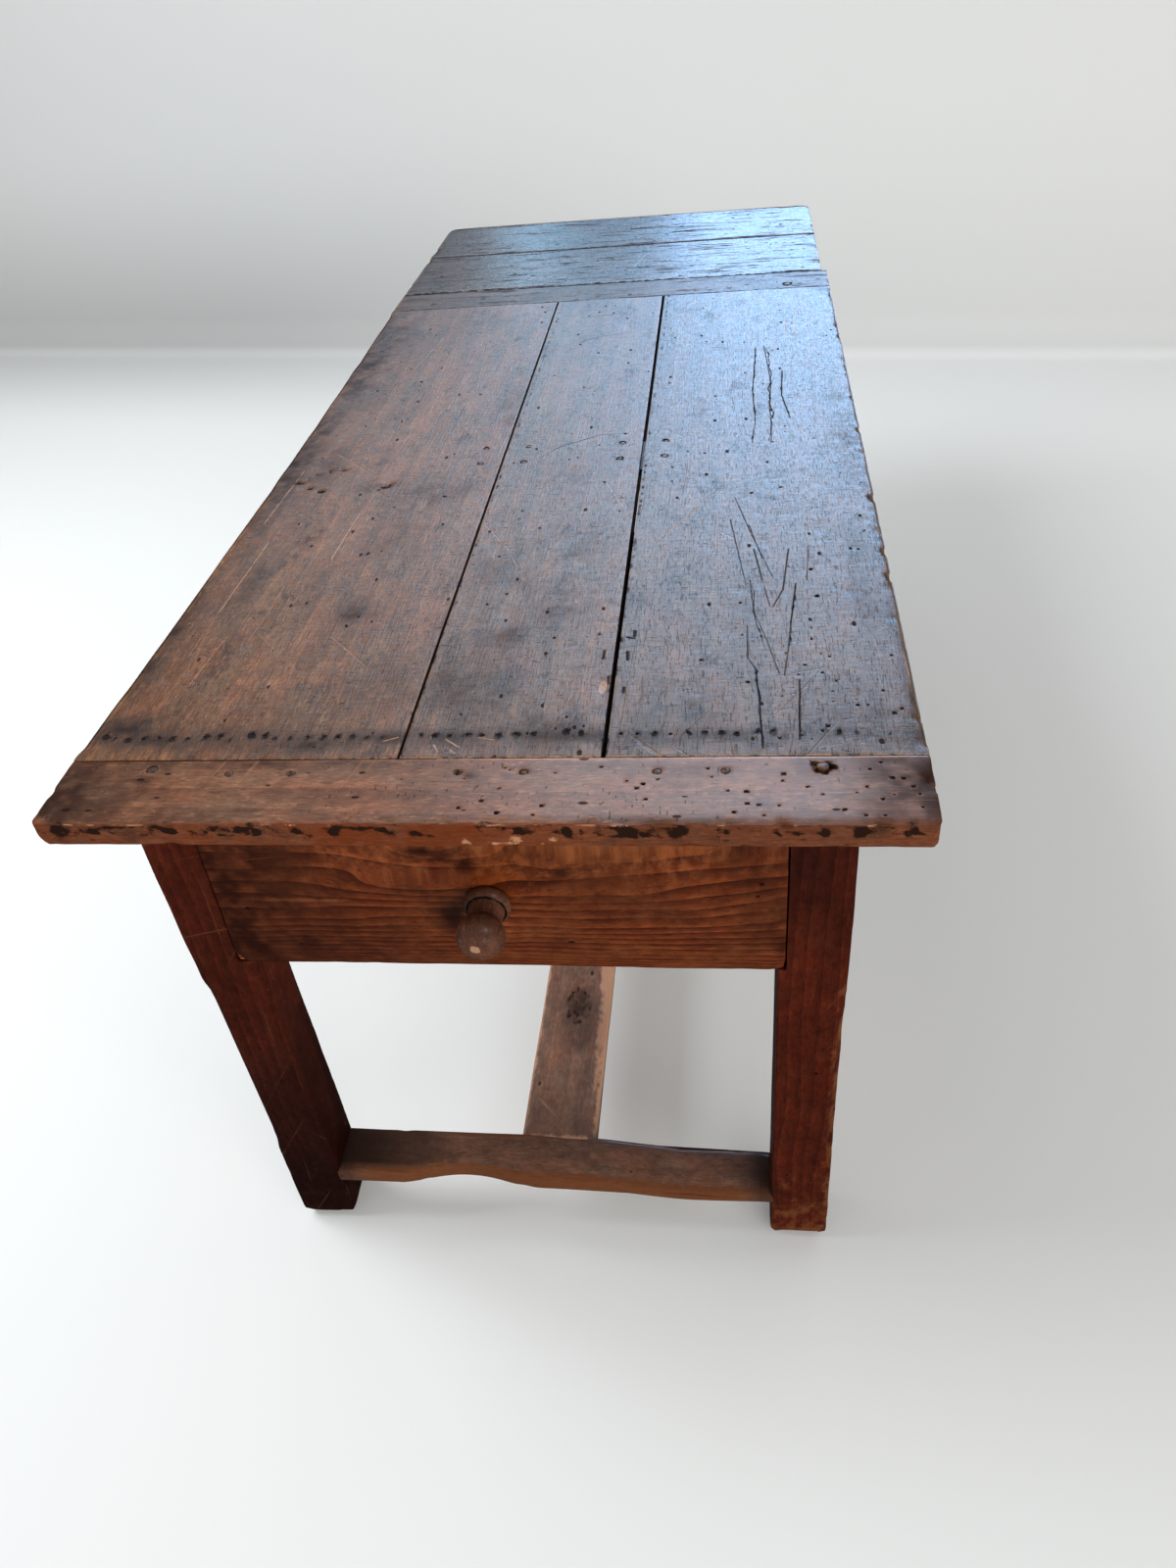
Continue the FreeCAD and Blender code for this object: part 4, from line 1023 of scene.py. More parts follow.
            board.hole(on_top(place), spread.uniform(0.5, 1.0) * MM, PIN_DEPTH)
        for _ in range(self.dents):
            place = on_top((spread.uniform(low, high), spread.uniform(-880, 420)))
            size = (spread.uniform(3, 12) * MM, spread.uniform(3, 14) * MM)
            board.dent(place, size, spread.uniform(0.3, 0.9) * MM)

    def tacks(self, board, smudge, low, high):
        """A row of old tack holes across the plank in a soiled band."""
        pitch = wear().tack_pitch / MM
        steps = int((high - low) / pitch)
        drifts = noise(np.array([[k * 0.9 + board.seed, 0.3, 0.7] for k in range(steps)]), 5)
        for k, drift in enumerate(drifts):
            x, y = low + (k + 0.5 + 0.35 * drift) * pitch, TACK_ROW + 6 * drift
            board.soil(on_top((x, y - 2)), (6 * MM, 10 * MM), smudge + 0.3 * drift)
            board.mark(on_top((x, y - 1)), (5 * MM, 7 * MM), smudge + 0.5 * drift)
            if drift > -0.35:
                radius = (0.9 + 0.5 * abs(drift)) * MM
                board.hole(on_top((x, y)), radius, PIN_DEPTH, stain=0.95, spread=3 * MM)
        band = bell(board.p[..., 1] - board.local(on_top((0, TACK_ROW - 5)))[1], 17 * MM)
        patchy = board.patches(0.75, 0.6, (0.03, 0.02, 0.03), board.seed + 12)
        board.lay(dirt=0.85 * smudge * band * patchy)


class TABLE_OT_breadboards(bpy.types.Operator):
    """The two crosswise end boards of the fixed top"""
    bl_idname = "table.breadboards"
    bl_label = "Breadboards"

    corner = 8 * MM
    low_corners = (-1, 14 * MM), (1, 7 * MM)
    # Ends across the table, in metres, of the painted highlight drawn along the joint with the planks
    painted_glint_line = (-0.04, 0.396)
    pits = 55

    def execute(self, context):
        self.near_board()
        self.far_board()
        return {"FINISHED"}

    def near_board(self):
        size = wear()
        low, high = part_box("breadboard_near")
        board = Board(low, high, (Y, X, Z), radius=size.arris * 0.5, step=(0.003, 0.0035), seed=21)
        round_corners(board, self.corner, -1)
        board.edge_share = unit((board.half[0] - 0.008 - board.across) / 0.012)
        board.weather(size.wave, size.arris * 0.35, size.chip * 0.5, 0.016)
        outer = unit(-board.across / board.half[0]) ** 8
        rough = unit(board.noise((0.02, 0.024, 0.008), 77) - 0.15)
        board.push(outer * rough * 1.8 * MM)
        self.round_ends(board)
        self.edge_marks(board, low, high)
        # Painted highlight: a very pale line drawn along the joint with the planks, from near the middle to
        # the right end.
        joint = [board.grain_place((x, high.y - 1.0 * MM, high.z)) for x in self.painted_glint_line]
        material = top_wood("breadboard_near_wood", (1.4, 1.22, 1.22), blotch_share=0.35, worn=0.97,
                            relief=0.6, smudge=0.5, fleck=0.5, sheen=0.1, pale=0.95, coat=0.3,
                            line_pale=2.4, rub=(0.116, 0.02, 0.0026),
                            lines=[(*joint, 1.3 * MM, "scratch")])
        board.build("breadboard_near_board", material, "breadboard_near", "top_wood", wear_width=0.004)

    def far_board(self):
        size = wear()
        low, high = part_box("breadboard_far")
        board = Board(low, high, (Y, X, Z), radius=size.seam_arris, step=(0.006, 0.006), back_step=BACK_STEP,
                      seed=22)
        board.edge_share = end_share(board)
        board.weather(size.wave, size.arris * 0.4, size.chip * 0.5)
        self.peg_holes(board)
        board.lay(stain=bell(board.half[0] - board.across, 4 * MM) * np.where(board.facing > 0.3, 1.1, 0.4))
        board.lay(stain=0.75 * bell(board.half[0] + board.across, 2 * MM))
        material = top_wood("breadboard_far_wood", (0.72, 0.72, 0.72), smudge=0.6, blotch_share=0.3,
                            sheen=0.38, relief=0.6, streak=0.6)
        board.build("breadboard_far_board", material, "breadboard_far", "top_wood")

    def round_ends(self, board):
        """Rubs the lower corners of both ends round."""
        for side, radius in self.low_corners:
            turn = unit(1 - (board.above + board.half[2]) / radius)
            drawn_in = radius * (1 - np.sqrt(1 - turn ** 2))
            near_end = unit((side * board.along - board.half[1] + radius) / radius)
            board.p[..., 1] -= side * near_end * drawn_in

    def peg_holes(self, board):
        """Holes round the pegs; the one at the right of the near edge is broken out."""
        for node, (x, y, z), radius in peg_ends("breadboard_pegs", "top_pegs"):
            if node == "top_pegs" and x > 0:
                look = dict(ragged=0.2, stain=0.8, spread=radius * 1.3)
                board.hole((x, y - 2.5 * MM, z), radius * 1.4, PEG_DEPTH, **look)
            else:
                board.hole((x, y, z), radius, PEG_DEPTH, ragged=0.05, stain=0.25, spread=radius * 1.3)

    def edge_marks(self, board, low, high):
        """Dark bruises along the near edge, a broken spot at its right, pits, and a painted highlight along
        the joint.
        """
        self.peg_holes(board)
        spread = np.random.default_rng(5)
        torn_edge = np.clip(0.7 + 1.25 * board.noise((0.01, 0.006, 0.004), 29), 0, 1.4)
        torn_edge = torn_edge * (board.across < -board.half[0] + 6 * MM)
        for x, half_length, down in BRUISES:
            gap = board.p - board.local((x * MM, low.y, high.z - down * MM))
            long = half_length * 1.35 * MM
            blot = np.exp(-(gap[..., 1] / long) ** 2 - (gap[..., 2] / 0.0066) ** 2) * torn_edge
            board.lay(stain=blot * 1.25)
            board.push(np.minimum(blot, 1) * spread.uniform(0.3, 1.2) * MM)
        crease = np.clip(0.35 + 1.1 * board.noise((0.02, 0.026, 0.02), 28), 0, 0.85)
        crease *= bell(board.above - board.half[2] + 5 * MM, 0.0026) * (board.n[..., 0] < -0.4)
        face = unit(-board.n[..., 0] * 1.6 - 0.4)
        board.lay(stain=crease, rub=face)
        board.lay(dirt=face * np.clip(0.1 + 0.55 * board.clouds, 0, 0.75))
        board.lay(dirt=0.55 * face * unit(board.along / 0.15))
        for x, y, across, along, strength in SOILED_END:
            board.soil(on_top((x, y)), (along * MM, across * MM), strength)
        # Painted highlight: a pale line along the joint with the planks, stronger towards the right.
        from_joint, upward = board.half[0] - board.across, board.facing > 0.2
        joint = bell(from_joint, 0.0016) * upward
        board.lay(bare=joint * np.clip(0.75 + board.along / 0.6, 0.35, 1.2))
        board.gloss = unit(board.facing * 2 - 1) * (0.6 + 0.9 * board.along)
        board.gloss *= np.clip((board.half[1] - board.along) / 0.1, 0.3, 1)
        board.lay(gloss=bell(from_joint, 0.0022) * upward * unit(0.3 + board.along / 0.3))
        torn = unit(board.noise((0.02, 0.011, 0.005), 31) * 2.5) * (board.n[..., 0] < -0.3)
        splinter = torn * bell(board.p[..., 1] - 0.03, 0.06, 6) * unit(-board.above / board.half[2] + 0.3)
        crest = torn * (np.abs(board.above - board.half[2] + 2 * MM) < 2.2 * MM) * 0.8
        board.lay(bare=np.maximum(splinter * 1.1, crest))
        board.push(splinter * 1.5 * MM)
        board.dent(on_top(END_NICK), (6 * MM, 7 * MM), 7 * MM)
        for _ in range(self.pits):
            place = (385 - 400 * spread.uniform(0, 1) ** 1.6, spread.uniform(-992, -918))
            board.hole(on_top(place), spread.uniform(0.5, 1.2) * MM, PIN_DEPTH)


def end_share(board):
    """1 at the two ends of a board, 0 along its sides."""
    return unit((np.abs(board.along) - board.half[1] + 0.03) / 0.015)


def round_corners(board, radius, side):
    """Rounds the two plan corners of a crosswise board on one of its long sides."""
    straight_u, straight_v = board.half[0] - radius, board.half[1] - radius
    u = side * board.p[..., 0] - straight_u
    v = np.abs(board.p[..., 1]) - straight_v
    inside = (u > 0) & (v > 0)
    share = np.where(inside, np.maximum(u, v) / np.maximum(np.hypot(u, v), 1e-9), 1.0)
    board.p[..., 0] = np.where(inside, side * (straight_u + u * share), board.p[..., 0])
    board.p[..., 1] = np.where(inside, np.sign(board.p[..., 1]) * (straight_v + v * share), board.p[..., 1])


class TABLE_OT_leaf(bpy.types.Operator):
    """The two weathered boards of the pull-out leaf"""
    bl_idname = "table.leaf"
    bl_label = "Leaf boards"

    corner = 28 * MM
    cracks, pins = 4, 22
    # How far the dark of the joint on the near side of each board reaches in
    joints = {"leaf_board_inner": 0.009, "leaf_board_outer": 0.003}

    def execute(self, context):
        for seed, node in enumerate(self.joints, start=31):
            self.leaf_board(node, seed)
        return {"FINISHED"}

    def leaf_board(self, node, seed):
        size = wear()
        low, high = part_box(node)
        board = Board(low, high, (Y, X, Z), radius=size.seam_arris * 1.5, step=(0.005, 0.005),
                      back_step=BACK_STEP, seed=seed)
        board.edge_share = end_share(board)
        if node == "leaf_board_outer":
            round_corners(board, self.corner, 1)
            board.edge_share = unit((board.across + board.half[0] - 0.008) / 0.012)
        board.weather(size.wave * 1.4, size.arris * 0.5, size.chip)
        board.stain = bell(board.half[0] + board.across, self.joints[node])
        if node == "leaf_board_inner":
            board.lay(stain=bell(board.half[0] - board.across, 0.003))
        board.stain *= np.where(board.facing > 0.3, 1.1, 0.4)
        board.push(1.5 * MM * np.minimum(board.stain, 1) * (board.facing > 0.2))
        board.dirt = 0.35 * bell(board.along + board.half[1], 0.12)
        ridges = board.noise((0.006, 0.09, 0.02), seed + 4)
        board.push(0.35 * MM * (1 + ridges) * (board.facing > 0.5))
        spread = np.random.default_rng(seed)
        for k in range(self.cracks):
            x = spread.uniform(0.0, 0.34)
            y = low.y + (0.15 + 0.22 * k) * (high.y - low.y)
            path = [(x - 0.07, y, high.z), (x, y + 3 * MM, high.z), (x + 0.05, y, high.z)]
            board.crack(path, 0.9 * MM, 4 * MM)
        for _ in range(self.pins):
            place = (spread.uniform(-0.37, 0.37), spread.uniform(low.y + 0.012, high.y - 0.012), high.z)
            board.hole(place, spread.uniform(0.8, 1.6) * MM, PIN_DEPTH)
        material = top_wood(node + "_wood", (0.8, 0.84, 0.9), rings=12, pits=0.3, scratch=0.5,
                            rough=(0.17, 0.3), relief=0.85, smudge=0.6, blotch_share=0.3, dash=1.0,
                            sheen=0.38, streak=0.85)
        board.build(node + "_worn", material, node, "leaf_wood")


class TABLE_OT_legs(bpy.types.Operator):
    """Four square legs with stop chamfers, worn feet and rebates for the drawer front"""
    bl_idname = "table.legs"
    bl_label = "Legs"

    fit = 0.7 * MM
    lean = 7 * MM
    # Worn feet: axis of the section, how far in, how high
    worn_foot = (0, 16 * MM, 25 * MM), (2, 15 * MM, 20 * MM)
    foot_rings = (4.2, 5.6, 7.5, 10, 13, 16, 20, 24)
    inner_chamfer = 0.3

    def execute(self, context):
        for seed, place in enumerate(("near_left", "near_right", "far_left", "far_right"), start=41):
            self.leg("leg_" + place, seed)
        return {"FINISHED"}

    def leg(self, node, seed):
        front_low, front_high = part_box("drawer_front")
        low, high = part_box(node)
        near = "near" in node
        inner = 1 if "left" in node else -1
        lap = (front_low.x - self.fit if inner > 0 else front_high.x + self.fit) - (low.x + high.x) / 2
        shelf = front_low.z - self.fit - (low.z + high.z) / 2
        lines = [h * MM - (high.z - low.z) / 2 for h in self.foot_rings]
        board = Board(low, high, (X, Z, Y), sign=-1, radius=wear().leg_arris, step=(0.006, 0.008), seed=seed,
                      across_lines=[lap] if near else [], along_lines=lines + ([shelf] if near else []))
        height = board.along + board.centre[2]
        self.shape(board, inner, height)
        board.edge_share *= 0.05
        patchy = board.patches(0.7, 0.6, 0.02, seed + 9)
        board.lay(rub=0.6 * unit((0.2 - height) / 0.16) * patchy)
        if node == "leg_near_right":
            self.rub_arris(board, height)
            # Darker towards the top of the leg, from half a metre up.
            board.dirt = 0.4 * unit((height - 0.5) / 0.12)
        if node == "leg_near_left":
            # Painted shade: the leg growing darker downward from beside the drawer to the foot.
            board.dirt = 0.92 * unit((0.55 - height) / 0.45)
            rise = unit((board.along - shelf) / (front_high.z - front_low.z))
            board.p[..., 0] += self.lean * rise * bell(board.across - lap, 0.008)
        if near:
            self.rebate(board, inner, lap, shelf, front_high.y + 0.5 * MM - low.y)
        board.build(node + "_post", leg_wood(), node, "leg_wood", wear_width=0.005)

    def shape(self, board, inner, height):
        """Stop chamfers, weak on the inner side, and worn feet."""
        size = wear()
        rise = unit((height - size.chamfer_low) / size.run_out)
        fall = unit((size.chamfer_high - height) / size.run_out)
        share = np.minimum(rise, fall)
        cut = size.chamfer * share * share * (3 - 2 * share)
        cut = cut * np.where(inner * board.across > 0, self.inner_chamfer, 1)
        gaps = [board.half[k] - np.abs(board.p[..., k]) for k in (0, 2)]
        over = np.clip(cut - gaps[0] - gaps[1], 0, None) / 2
        for k in (0, 2):
            board.p[..., k] -= np.sign(board.p[..., k]) * over
        ragged = 0.85 + 0.3 * board.noise(0.02, board.seed + 4)
        for k, inward, tall in self.worn_foot:
            below = unit(1 - height / tall)
            drawn_in = inward * (1 - np.sqrt(1 - below ** 2)) * ragged
            near_side = unit((np.abs(board.p[..., k]) - board.half[k] + inward) / inward)
            board.p[..., k] -= np.sign(board.p[..., k]) * near_side * drawn_in
        board.weather(size.wave * 0.9, size.leg_arris * 0.45, size.chip * 0.25, 0.02)

    def rub_arris(self, board, height):
        """Bare wood where the outer arris was rubbed, from below the drawer down to the foot."""
        outer = bell(board.half[0] - board.across, 0.011) * (board.facing > -0.3)
        span = unit((0.56 - height) / 0.12)
        patchy = board.patches(0.62, 0.7, (0.008, 0.016, 0.008), 48)
        board.lay(rub=0.75 * outer * span * patchy)
        board.push(1.0 * MM * outer * span * patchy)

    def rebate(self, board, inner, lap, shelf, depth):
        """Cuts the front inner corner back to make room for the end of the drawer front."""
        floor = board.half[2] - depth
        inside = (inner * (board.across - lap) > 0) & (board.along > shelf) & (board.p[..., 2] > floor)
        board.p[..., 2] = np.where(inside, floor, board.p[..., 2])


class TABLE_OT_aprons(bpy.types.Operator):
    """The side aprons, and the far apron round the arms"""
    bl_idname = "table.aprons"
    bl_label = "Aprons"

    def execute(self, context):
        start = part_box("leg_near_left")[1].y - JOINT
        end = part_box("leg_far_left")[0].y + JOINT
        for seed, (node, sign) in enumerate((("apron_left", -1), ("apron_right", 1)), start=51):
            low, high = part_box(node)
            board = Board((low.x, start, low.z), (high.x, end, high.z), (Z, Y, X), sign=sign, radius=2 * MM,
                          step=(0.012, 0.012), back_step=BACK_STEP, seed=seed)
            board.weather(wear().wave, 0.6 * MM, wear().chip * 0.6)
            board.build(node + "_board", leg_wood(), node, "leg_wood")
        keep_solid("apron_far", leg_wood(X))
        return {"FINISHED"}


class TABLE_OT_stretchers(bpy.types.Operator):
    """The low rails, worn by feet"""
    bl_idname = "table.stretchers"
    bl_label = "Stretchers"

    knot = (0.008, -0.674)
    knot_rings = (1.0, 1.0), (0.55, 0.75)
    stains = (-0.02, -0.815), (-0.012, -0.836), (0.018, -0.85)
    dents, knot_dents = 40, 26

    def execute(self, context):
        self.cross("cross_stretcher_near", 61, True)
        self.cross("cross_stretcher_far", 62, False)
        self.long_rail()
        return {"FINISHED"}

    def cross(self, node, seed, near):
        low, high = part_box(node)
        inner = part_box("leg_near_right")[0].x + JOINT
        sound_low, sound_high = [corner.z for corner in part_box("cross_stretcher_far")]
        board = Board((-inner, low.y, sound_low), (inner, high.y, sound_high), (Y, X, Z), radius=5 * MM,
                      step=(0.005, 0.005), seed=seed)
        x, upper = board.along, board.above > 0
        if near:
            self.thin_half(board, x, upper)
        side = -1 if near else 1
        middle = unit(1 - np.abs(x) / 0.25) ** 0.5
        worn = upper & (side * board.across > 0)
        edge = unit(1 - (board.half[0] - np.abs(board.across)) / 0.024) ** 1.3
        board.p[..., 2] -= np.where(worn, edge * 8 * MM * (0.4 + 0.6 * middle), 0)
        if near:
            rear = unit((board.across - board.half[0] + 0.012) / 0.012) * unit((x + 0.02) / 0.05)
            board.p[..., 2] -= np.where(upper, rear * 3.4 * MM, 0)
            board.gloss = np.where(upper, unit(rear * 3), 0)
        front = unit(side * board.n[..., 0] * 2)
        board.rub = np.maximum(np.where(worn, unit(edge * 3.5 - 1.2), 0), front)
        # Darker on the top face, more so towards the left end, and at both ends beside the legs.
        dull = 0.05 + 0.3 * board.noise((0.03, 0.06, 0.03), seed + 6)
        dull += 0.85 * unit((-x - 0.12) / 0.05)
        board.dirt = np.where(board.facing > 0.4, unit(dull) * (1 - board.rub), 0)
        board.lay(dirt=0.8 * unit(np.abs(x) / 0.03 - (inner - 0.05) / 0.03))
        board.weather(wear().wave * 1.6, 1.2 * MM, wear().chip * 0.4)
        board.build(node + "_rail", rail_wood(), node, "stretcher_wood", wear_width=0.008)

    def thin_half(self, board, x, upper):
        """Wears the right half of the near stretcher thin, and a hollow into its front."""
        worn = unit((x - 0.04) / 0.145)
        worn = worn * worn * (3 - 2 * worn)
        board.p[..., 2] += np.where(upper, -16 * MM * worn, -10 * MM * unit((x - 0.04) / 0.23))
        span = unit((x + 0.195) / 0.19)
        dip = wear().hollow * np.sin(math.pi * span ** 0.85) ** 2
        board.p[..., 0] += dip * unit(-board.across / board.half[0]) ** 1.5

    def long_rail(self):
        low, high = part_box("long_stretcher")
        near_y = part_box("cross_stretcher_near")[1].y
        far_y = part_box("cross_stretcher_far")[0].y
        board = Board((low.x, near_y - JOINT, low.z), (high.x, far_y + JOINT, high.z), (X, Y, Z),
                      radius=4 * MM, step=(0.003, 0.0035), seed=63)
        upper, right = board.above > 0, board.across > 0
        from_end = board.along + board.half[1]
        width = np.where(right, 0.013 + 0.014 * unit(from_end / 0.45), 0.014)
        edge = unit(1 - (board.half[0] - np.abs(board.across)) / width)
        board.p[..., 2] -= np.where(upper, edge * 9 * MM, 0)
        patchy = board.patches(0.75, 0.6, (0.012, 0.03, 0.02), 65)
        board.rub = np.where(upper, unit(edge * 3) * np.where(right, 0.95, 0.3) * patchy, 0)
        # Painted shade towards the near end, where the rail lies under the top: less rubbed tone and more
        # darkening.
        close = unit(1 - from_end / 0.2)
        board.rub *= 1 - 0.6 * close
        dull = np.maximum(0.15 + 0.4 * board.noise((0.03, 0.08, 0.03), 64), 0.65 * close)
        board.dirt = np.where(upper, unit(dull), 0)
        board.weather(wear().wave * 1.6, 1.0 * MM, wear().chip * 0.3)
        spread = np.random.default_rng(9)
        knot_lines = self.knotted(board, spread, high.z)
        for x, y in self.stains:
            board.soil((x, y, high.z), (0.012, 0.004), 0.7)
        for _ in range(self.dents):
            x = spread.uniform(low.x + 0.02, high.x - 0.02)
            place = (x, spread.uniform(near_y + 0.05, far_y - 0.05), high.z)
            size = (spread.uniform(3, 9) * MM, spread.uniform(4, 18) * MM)
            board.dent(place, size, spread.uniform(0.4, 1.4) * MM)
        # Tones lifted far above the other rails and leaned to blue: a painted sheen of the window and
        # painted light on the rail under the top.
        material = rail_wood("long_stretcher_wood", (2.8, 3.2, 4.0), (0.7, 0.38, 0.24), knot_lines,
                             sheen=0.36, coat=None)
        board.build("long_stretcher_rail", material, "long_stretcher", "stretcher_wood", wear_width=0.006)

    def knotted(self, board, spread, top):
        """A whorled knot with dents, dark rings and short lines; gives back the lines."""
        knot_x, knot_y = self.knot
        lines = []
        for k in range(self.knot_dents):
            turn, reach = spread.uniform(0, 6.3), spread.uniform(0, 1) ** 0.5
            out = (0.017 * reach * math.cos(turn), 0.03 * reach * math.sin(turn))
            place = np.array([knot_x + out[0], knot_y + out[1], top])
            size = (spread.uniform(2.0, 4) * MM, spread.uniform(4, 9) * MM)
            board.dent(place, size, spread.uniform(0.8, 2.2) * MM)
            board.soil(place, size, spread.uniform(0.7, 1.0))
            reach = np.array([spread.uniform(-7, 7), spread.uniform(-9, 9), 0]) * MM
            ends = [board.grain_place(p) for p in (place - reach, place + reach)]
            lines.append((*ends, 1.1 * MM, "score" if k % 2 else "scratch"))
        board.soil((knot_x, knot_y, top), (0.02, 0.034), 0.85)
        gap = (board.p - board.local((knot_x, knot_y, top))) / (0.017, 0.029, 0.02)
        whorl = np.hypot(gap[..., 0], gap[..., 1]) + 0.16 * board.noise(0.011, 66)
        for reach, strength in self.knot_rings:
            ring = strength * bell(whorl - reach, 0.16) * (np.abs(gap[..., 2]) < 1)
            board.lay(stain=ring * board.patches(0.7, 0.6, 0.014, 67))
            board.push(0.8 * MM * ring)
        return lines


class TABLE_OT_drawer(bpy.types.Operator):
    """The pine drawer front, and the drawer's box behind it"""
    bl_idname = "table.drawer"
    bl_label = "Drawer"

    lean = TABLE_OT_legs.lean
    # Darker places of the front in millimetres: across, height, half width, half height, strength.
    # The one at the knob is the knob's painted shadow; the large ones low on the left are grime and painted
    # shade together.
    soiled = ((-62, 668, 24, 10, 1.0), (-40, 662, 20, 10, 1.0), (-24, 652, 14, 9, 0.95),
              (-82, 615, 34, 9, 0.55), (74, 641, 12, 7, 0.85), (58, 632, 16, 5, 0.6),
              (-46, 578, 20, 26, 0.8), (-260, 540, 150, 34, 0.85), (-210, 588, 90, 9, 0.5),
              (-150, 520, 120, 24, 0.6), (180, 588, 130, 8, 0.3), (120, 606, 60, 5, 0.4),
              (-320, 600, 95, 95, 0.95), (-300, 560, 60, 60, 0.7), (-200, 560, 120, 14, 0.5),
              (290, 560, 90, 50, 0.6), (60, 540, 60, 20, 0.3), (-240, 622, 60, 6, 0.35))
    # Knots that bend its grain, in metres from its middle: along, up, half width, half height, rise
    knots = ((-0.082, 0.01, 0.075, 0.018, 0.013), (-0.046, 0.06, 0.045, 0.02, 0.012),
             (0.072, 0.036, 0.034, 0.013, 0.008))

    def execute(self, context):
        self.front()
        for node in ("drawer_side_left", "drawer_side_right"):
            keep_solid(node, inside_pine(Y), 0.8 * MM)
        for node in ("drawer_back", "drawer_bottom"):
            keep_solid(node, inside_pine(X), 0.6 * MM)
        for node in ("drawer_nails", "leaf_nails"):
            keep_solid(node, iron(), 0.3 * MM)
        return {"FINISHED"}

    def front(self):
        low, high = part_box("drawer_front")
        board = Board(low, high, (Z, X, Y), sign=-1, radius=2.2 * MM, step=(0.004, 0.004), seed=71,
                      back_step=BACK_STEP)
        board.edge_share *= 0.15
        board.weather(wear().wave * 1.2, 4 * MM, wear().chip * 0.8, 0.022)
        along, from_low = board.along, board.across + board.half[0]
        rise = unit(from_low / (2 * board.half[0]))
        board.p[..., 1] += self.lean * rise * unit((-along - board.half[1] + 0.06) / 0.06)
        board.flow = self.flow(board)
        torn = unit(1 - np.hypot(from_low, along + board.half[1]) / 0.014)
        board.push(torn * 3 * MM)
        board.lay(bare=unit(torn * 1.6))
        # A lighter band along the top of the front: rubbed wood, with painted light on that band as well.
        top_strip = unit((board.across - board.half[0] + 0.115) / 0.105)
        board.lay(rub=0.85 * top_strip * bell(along - 0.05, 0.26, 4))
        # Painted shade: the left end of the front much darker, its right end somewhat darker.
        painted_shade = np.maximum(0.95 * unit((-along - 0.1) / 0.14), 0.45 * unit((along - 0.17) / 0.08))
        board.lay(dirt=painted_shade * unit(0.85 + 0.5 * board.clouds))
        soft = np.hypot(from_low, along - board.half[1])
        board.push(unit(1 - soft / 0.02) ** 2 * 4 * MM)
        # Grime, with the knob's painted shadow and painted shade low on the left.
        for x, z, wide, tall, strength in self.soiled:
            board.soil((x * MM, low.y, z * MM), (tall * MM, wide * MM), strength)
        level = board.p[..., 0] + board.centre[2] + 2 * MM * board.noise((1, 0.05, 1), 75)
        board.lay(rub=0.9 * bell(level - 0.6025, 0.0028) * bell(along + 0.205, 0.07, 4))
        pine = wood("drawer_front_pine", tones_of("pine"), rings=34, warp=2.2, fibre=330, ring_share=0.95,
                    blotch_share=0.35, pits=0.05, worn=0.36, rough=(0.36, 0.5), relief=0.4, fibre_share=0.7,
                    sheen=0.18, dash=0.1, fleck=0.12, hue_share=0.5, ridges=-0.7, smudge=0.3, ring_fade=0.5,
                    rub=(0.38, 0.118, 0.034))
        board.build("drawer_front_board", pine, "drawer_front", "drawer_front_pine", wear_width=0.004)

    def flow(self, board):
        """Grain lines: level at the left, rising to the right, finer low down, bent round three knots."""
        height, along = board.across, board.along
        share = unit((height + 0.085) / 0.08)
        level = height - 0.11 * unit(along - 0.01) * share
        fine, low = 0.035, -board.half[0]
        coarse = 0.5 - 0.16 * unit(along / 0.08) * share
        lines = coarse * level - 2.2 * fine * np.exp(-np.clip(level - low, -0.02, 1) / fine)
        for x, z, wide, high, rise in self.knots:
            lines = lines + rise * np.exp(-((along - x) / wide) ** 2 - ((height - z) / high) ** 2)
        for depth, long, tall, seed in ((5 * MM, 0.5, 0.025, 74), (1.4 * MM, 0.05, 0.02, 73)):
            lines = lines + depth * noise(np.stack([along / long, height / tall, along * 0], -1), seed)
        return lines


def keep_solid(node, material, bevel=1.5 * MM):
    """A CAD solid that shows as it is, with its own finish and eased arrises."""
    solid = frame["nodes"][node]
    solid.data.materials.clear()
    solid.data.materials.append(material)
    eased = solid.modifiers.new("eased arrises", "BEVEL")
    eased.width = bevel
    eased.segments = 2
    eased.limit_method = "ANGLE"
    eased.angle_limit = math.radians(EASED_ANGLE)


class TABLE_OT_inner_frame(bpy.types.Operator):
    """Rails, runners and arms under the top"""
    bl_idname = "table.inner_frame"
    bl_label = "Inner frame"

    def execute(self, context):
        for node in ("near_rail", "middle_rail"):
            keep_solid(node, inside_pine(X))
        for node in ("runner_left", "runner_right"):
            keep_solid(node, inside_pine(Y))
        for node in ("leaf_arm_left", "leaf_arm_right"):
            keep_solid(node, leg_wood(Y), 2 * MM)
        keep_solid("leaf_stop_pegs", inside_pine(Z), 0.8 * MM)
        keep_solid("plank_tenons", leg_wood(X), 0.8 * MM)
        keep_solid("knob_wedge", inside_pine(Y), 0.2 * MM)
        return {"FINISHED"}


def bands(rings, sides):
    """The faces between rings of points, given by the first point of each ring."""
    return [(a + k, a + (k + 1) % sides, b + (k + 1) % sides, b + k)
            for a, b in zip(rings, rings[1:]) for k in range(sides)]


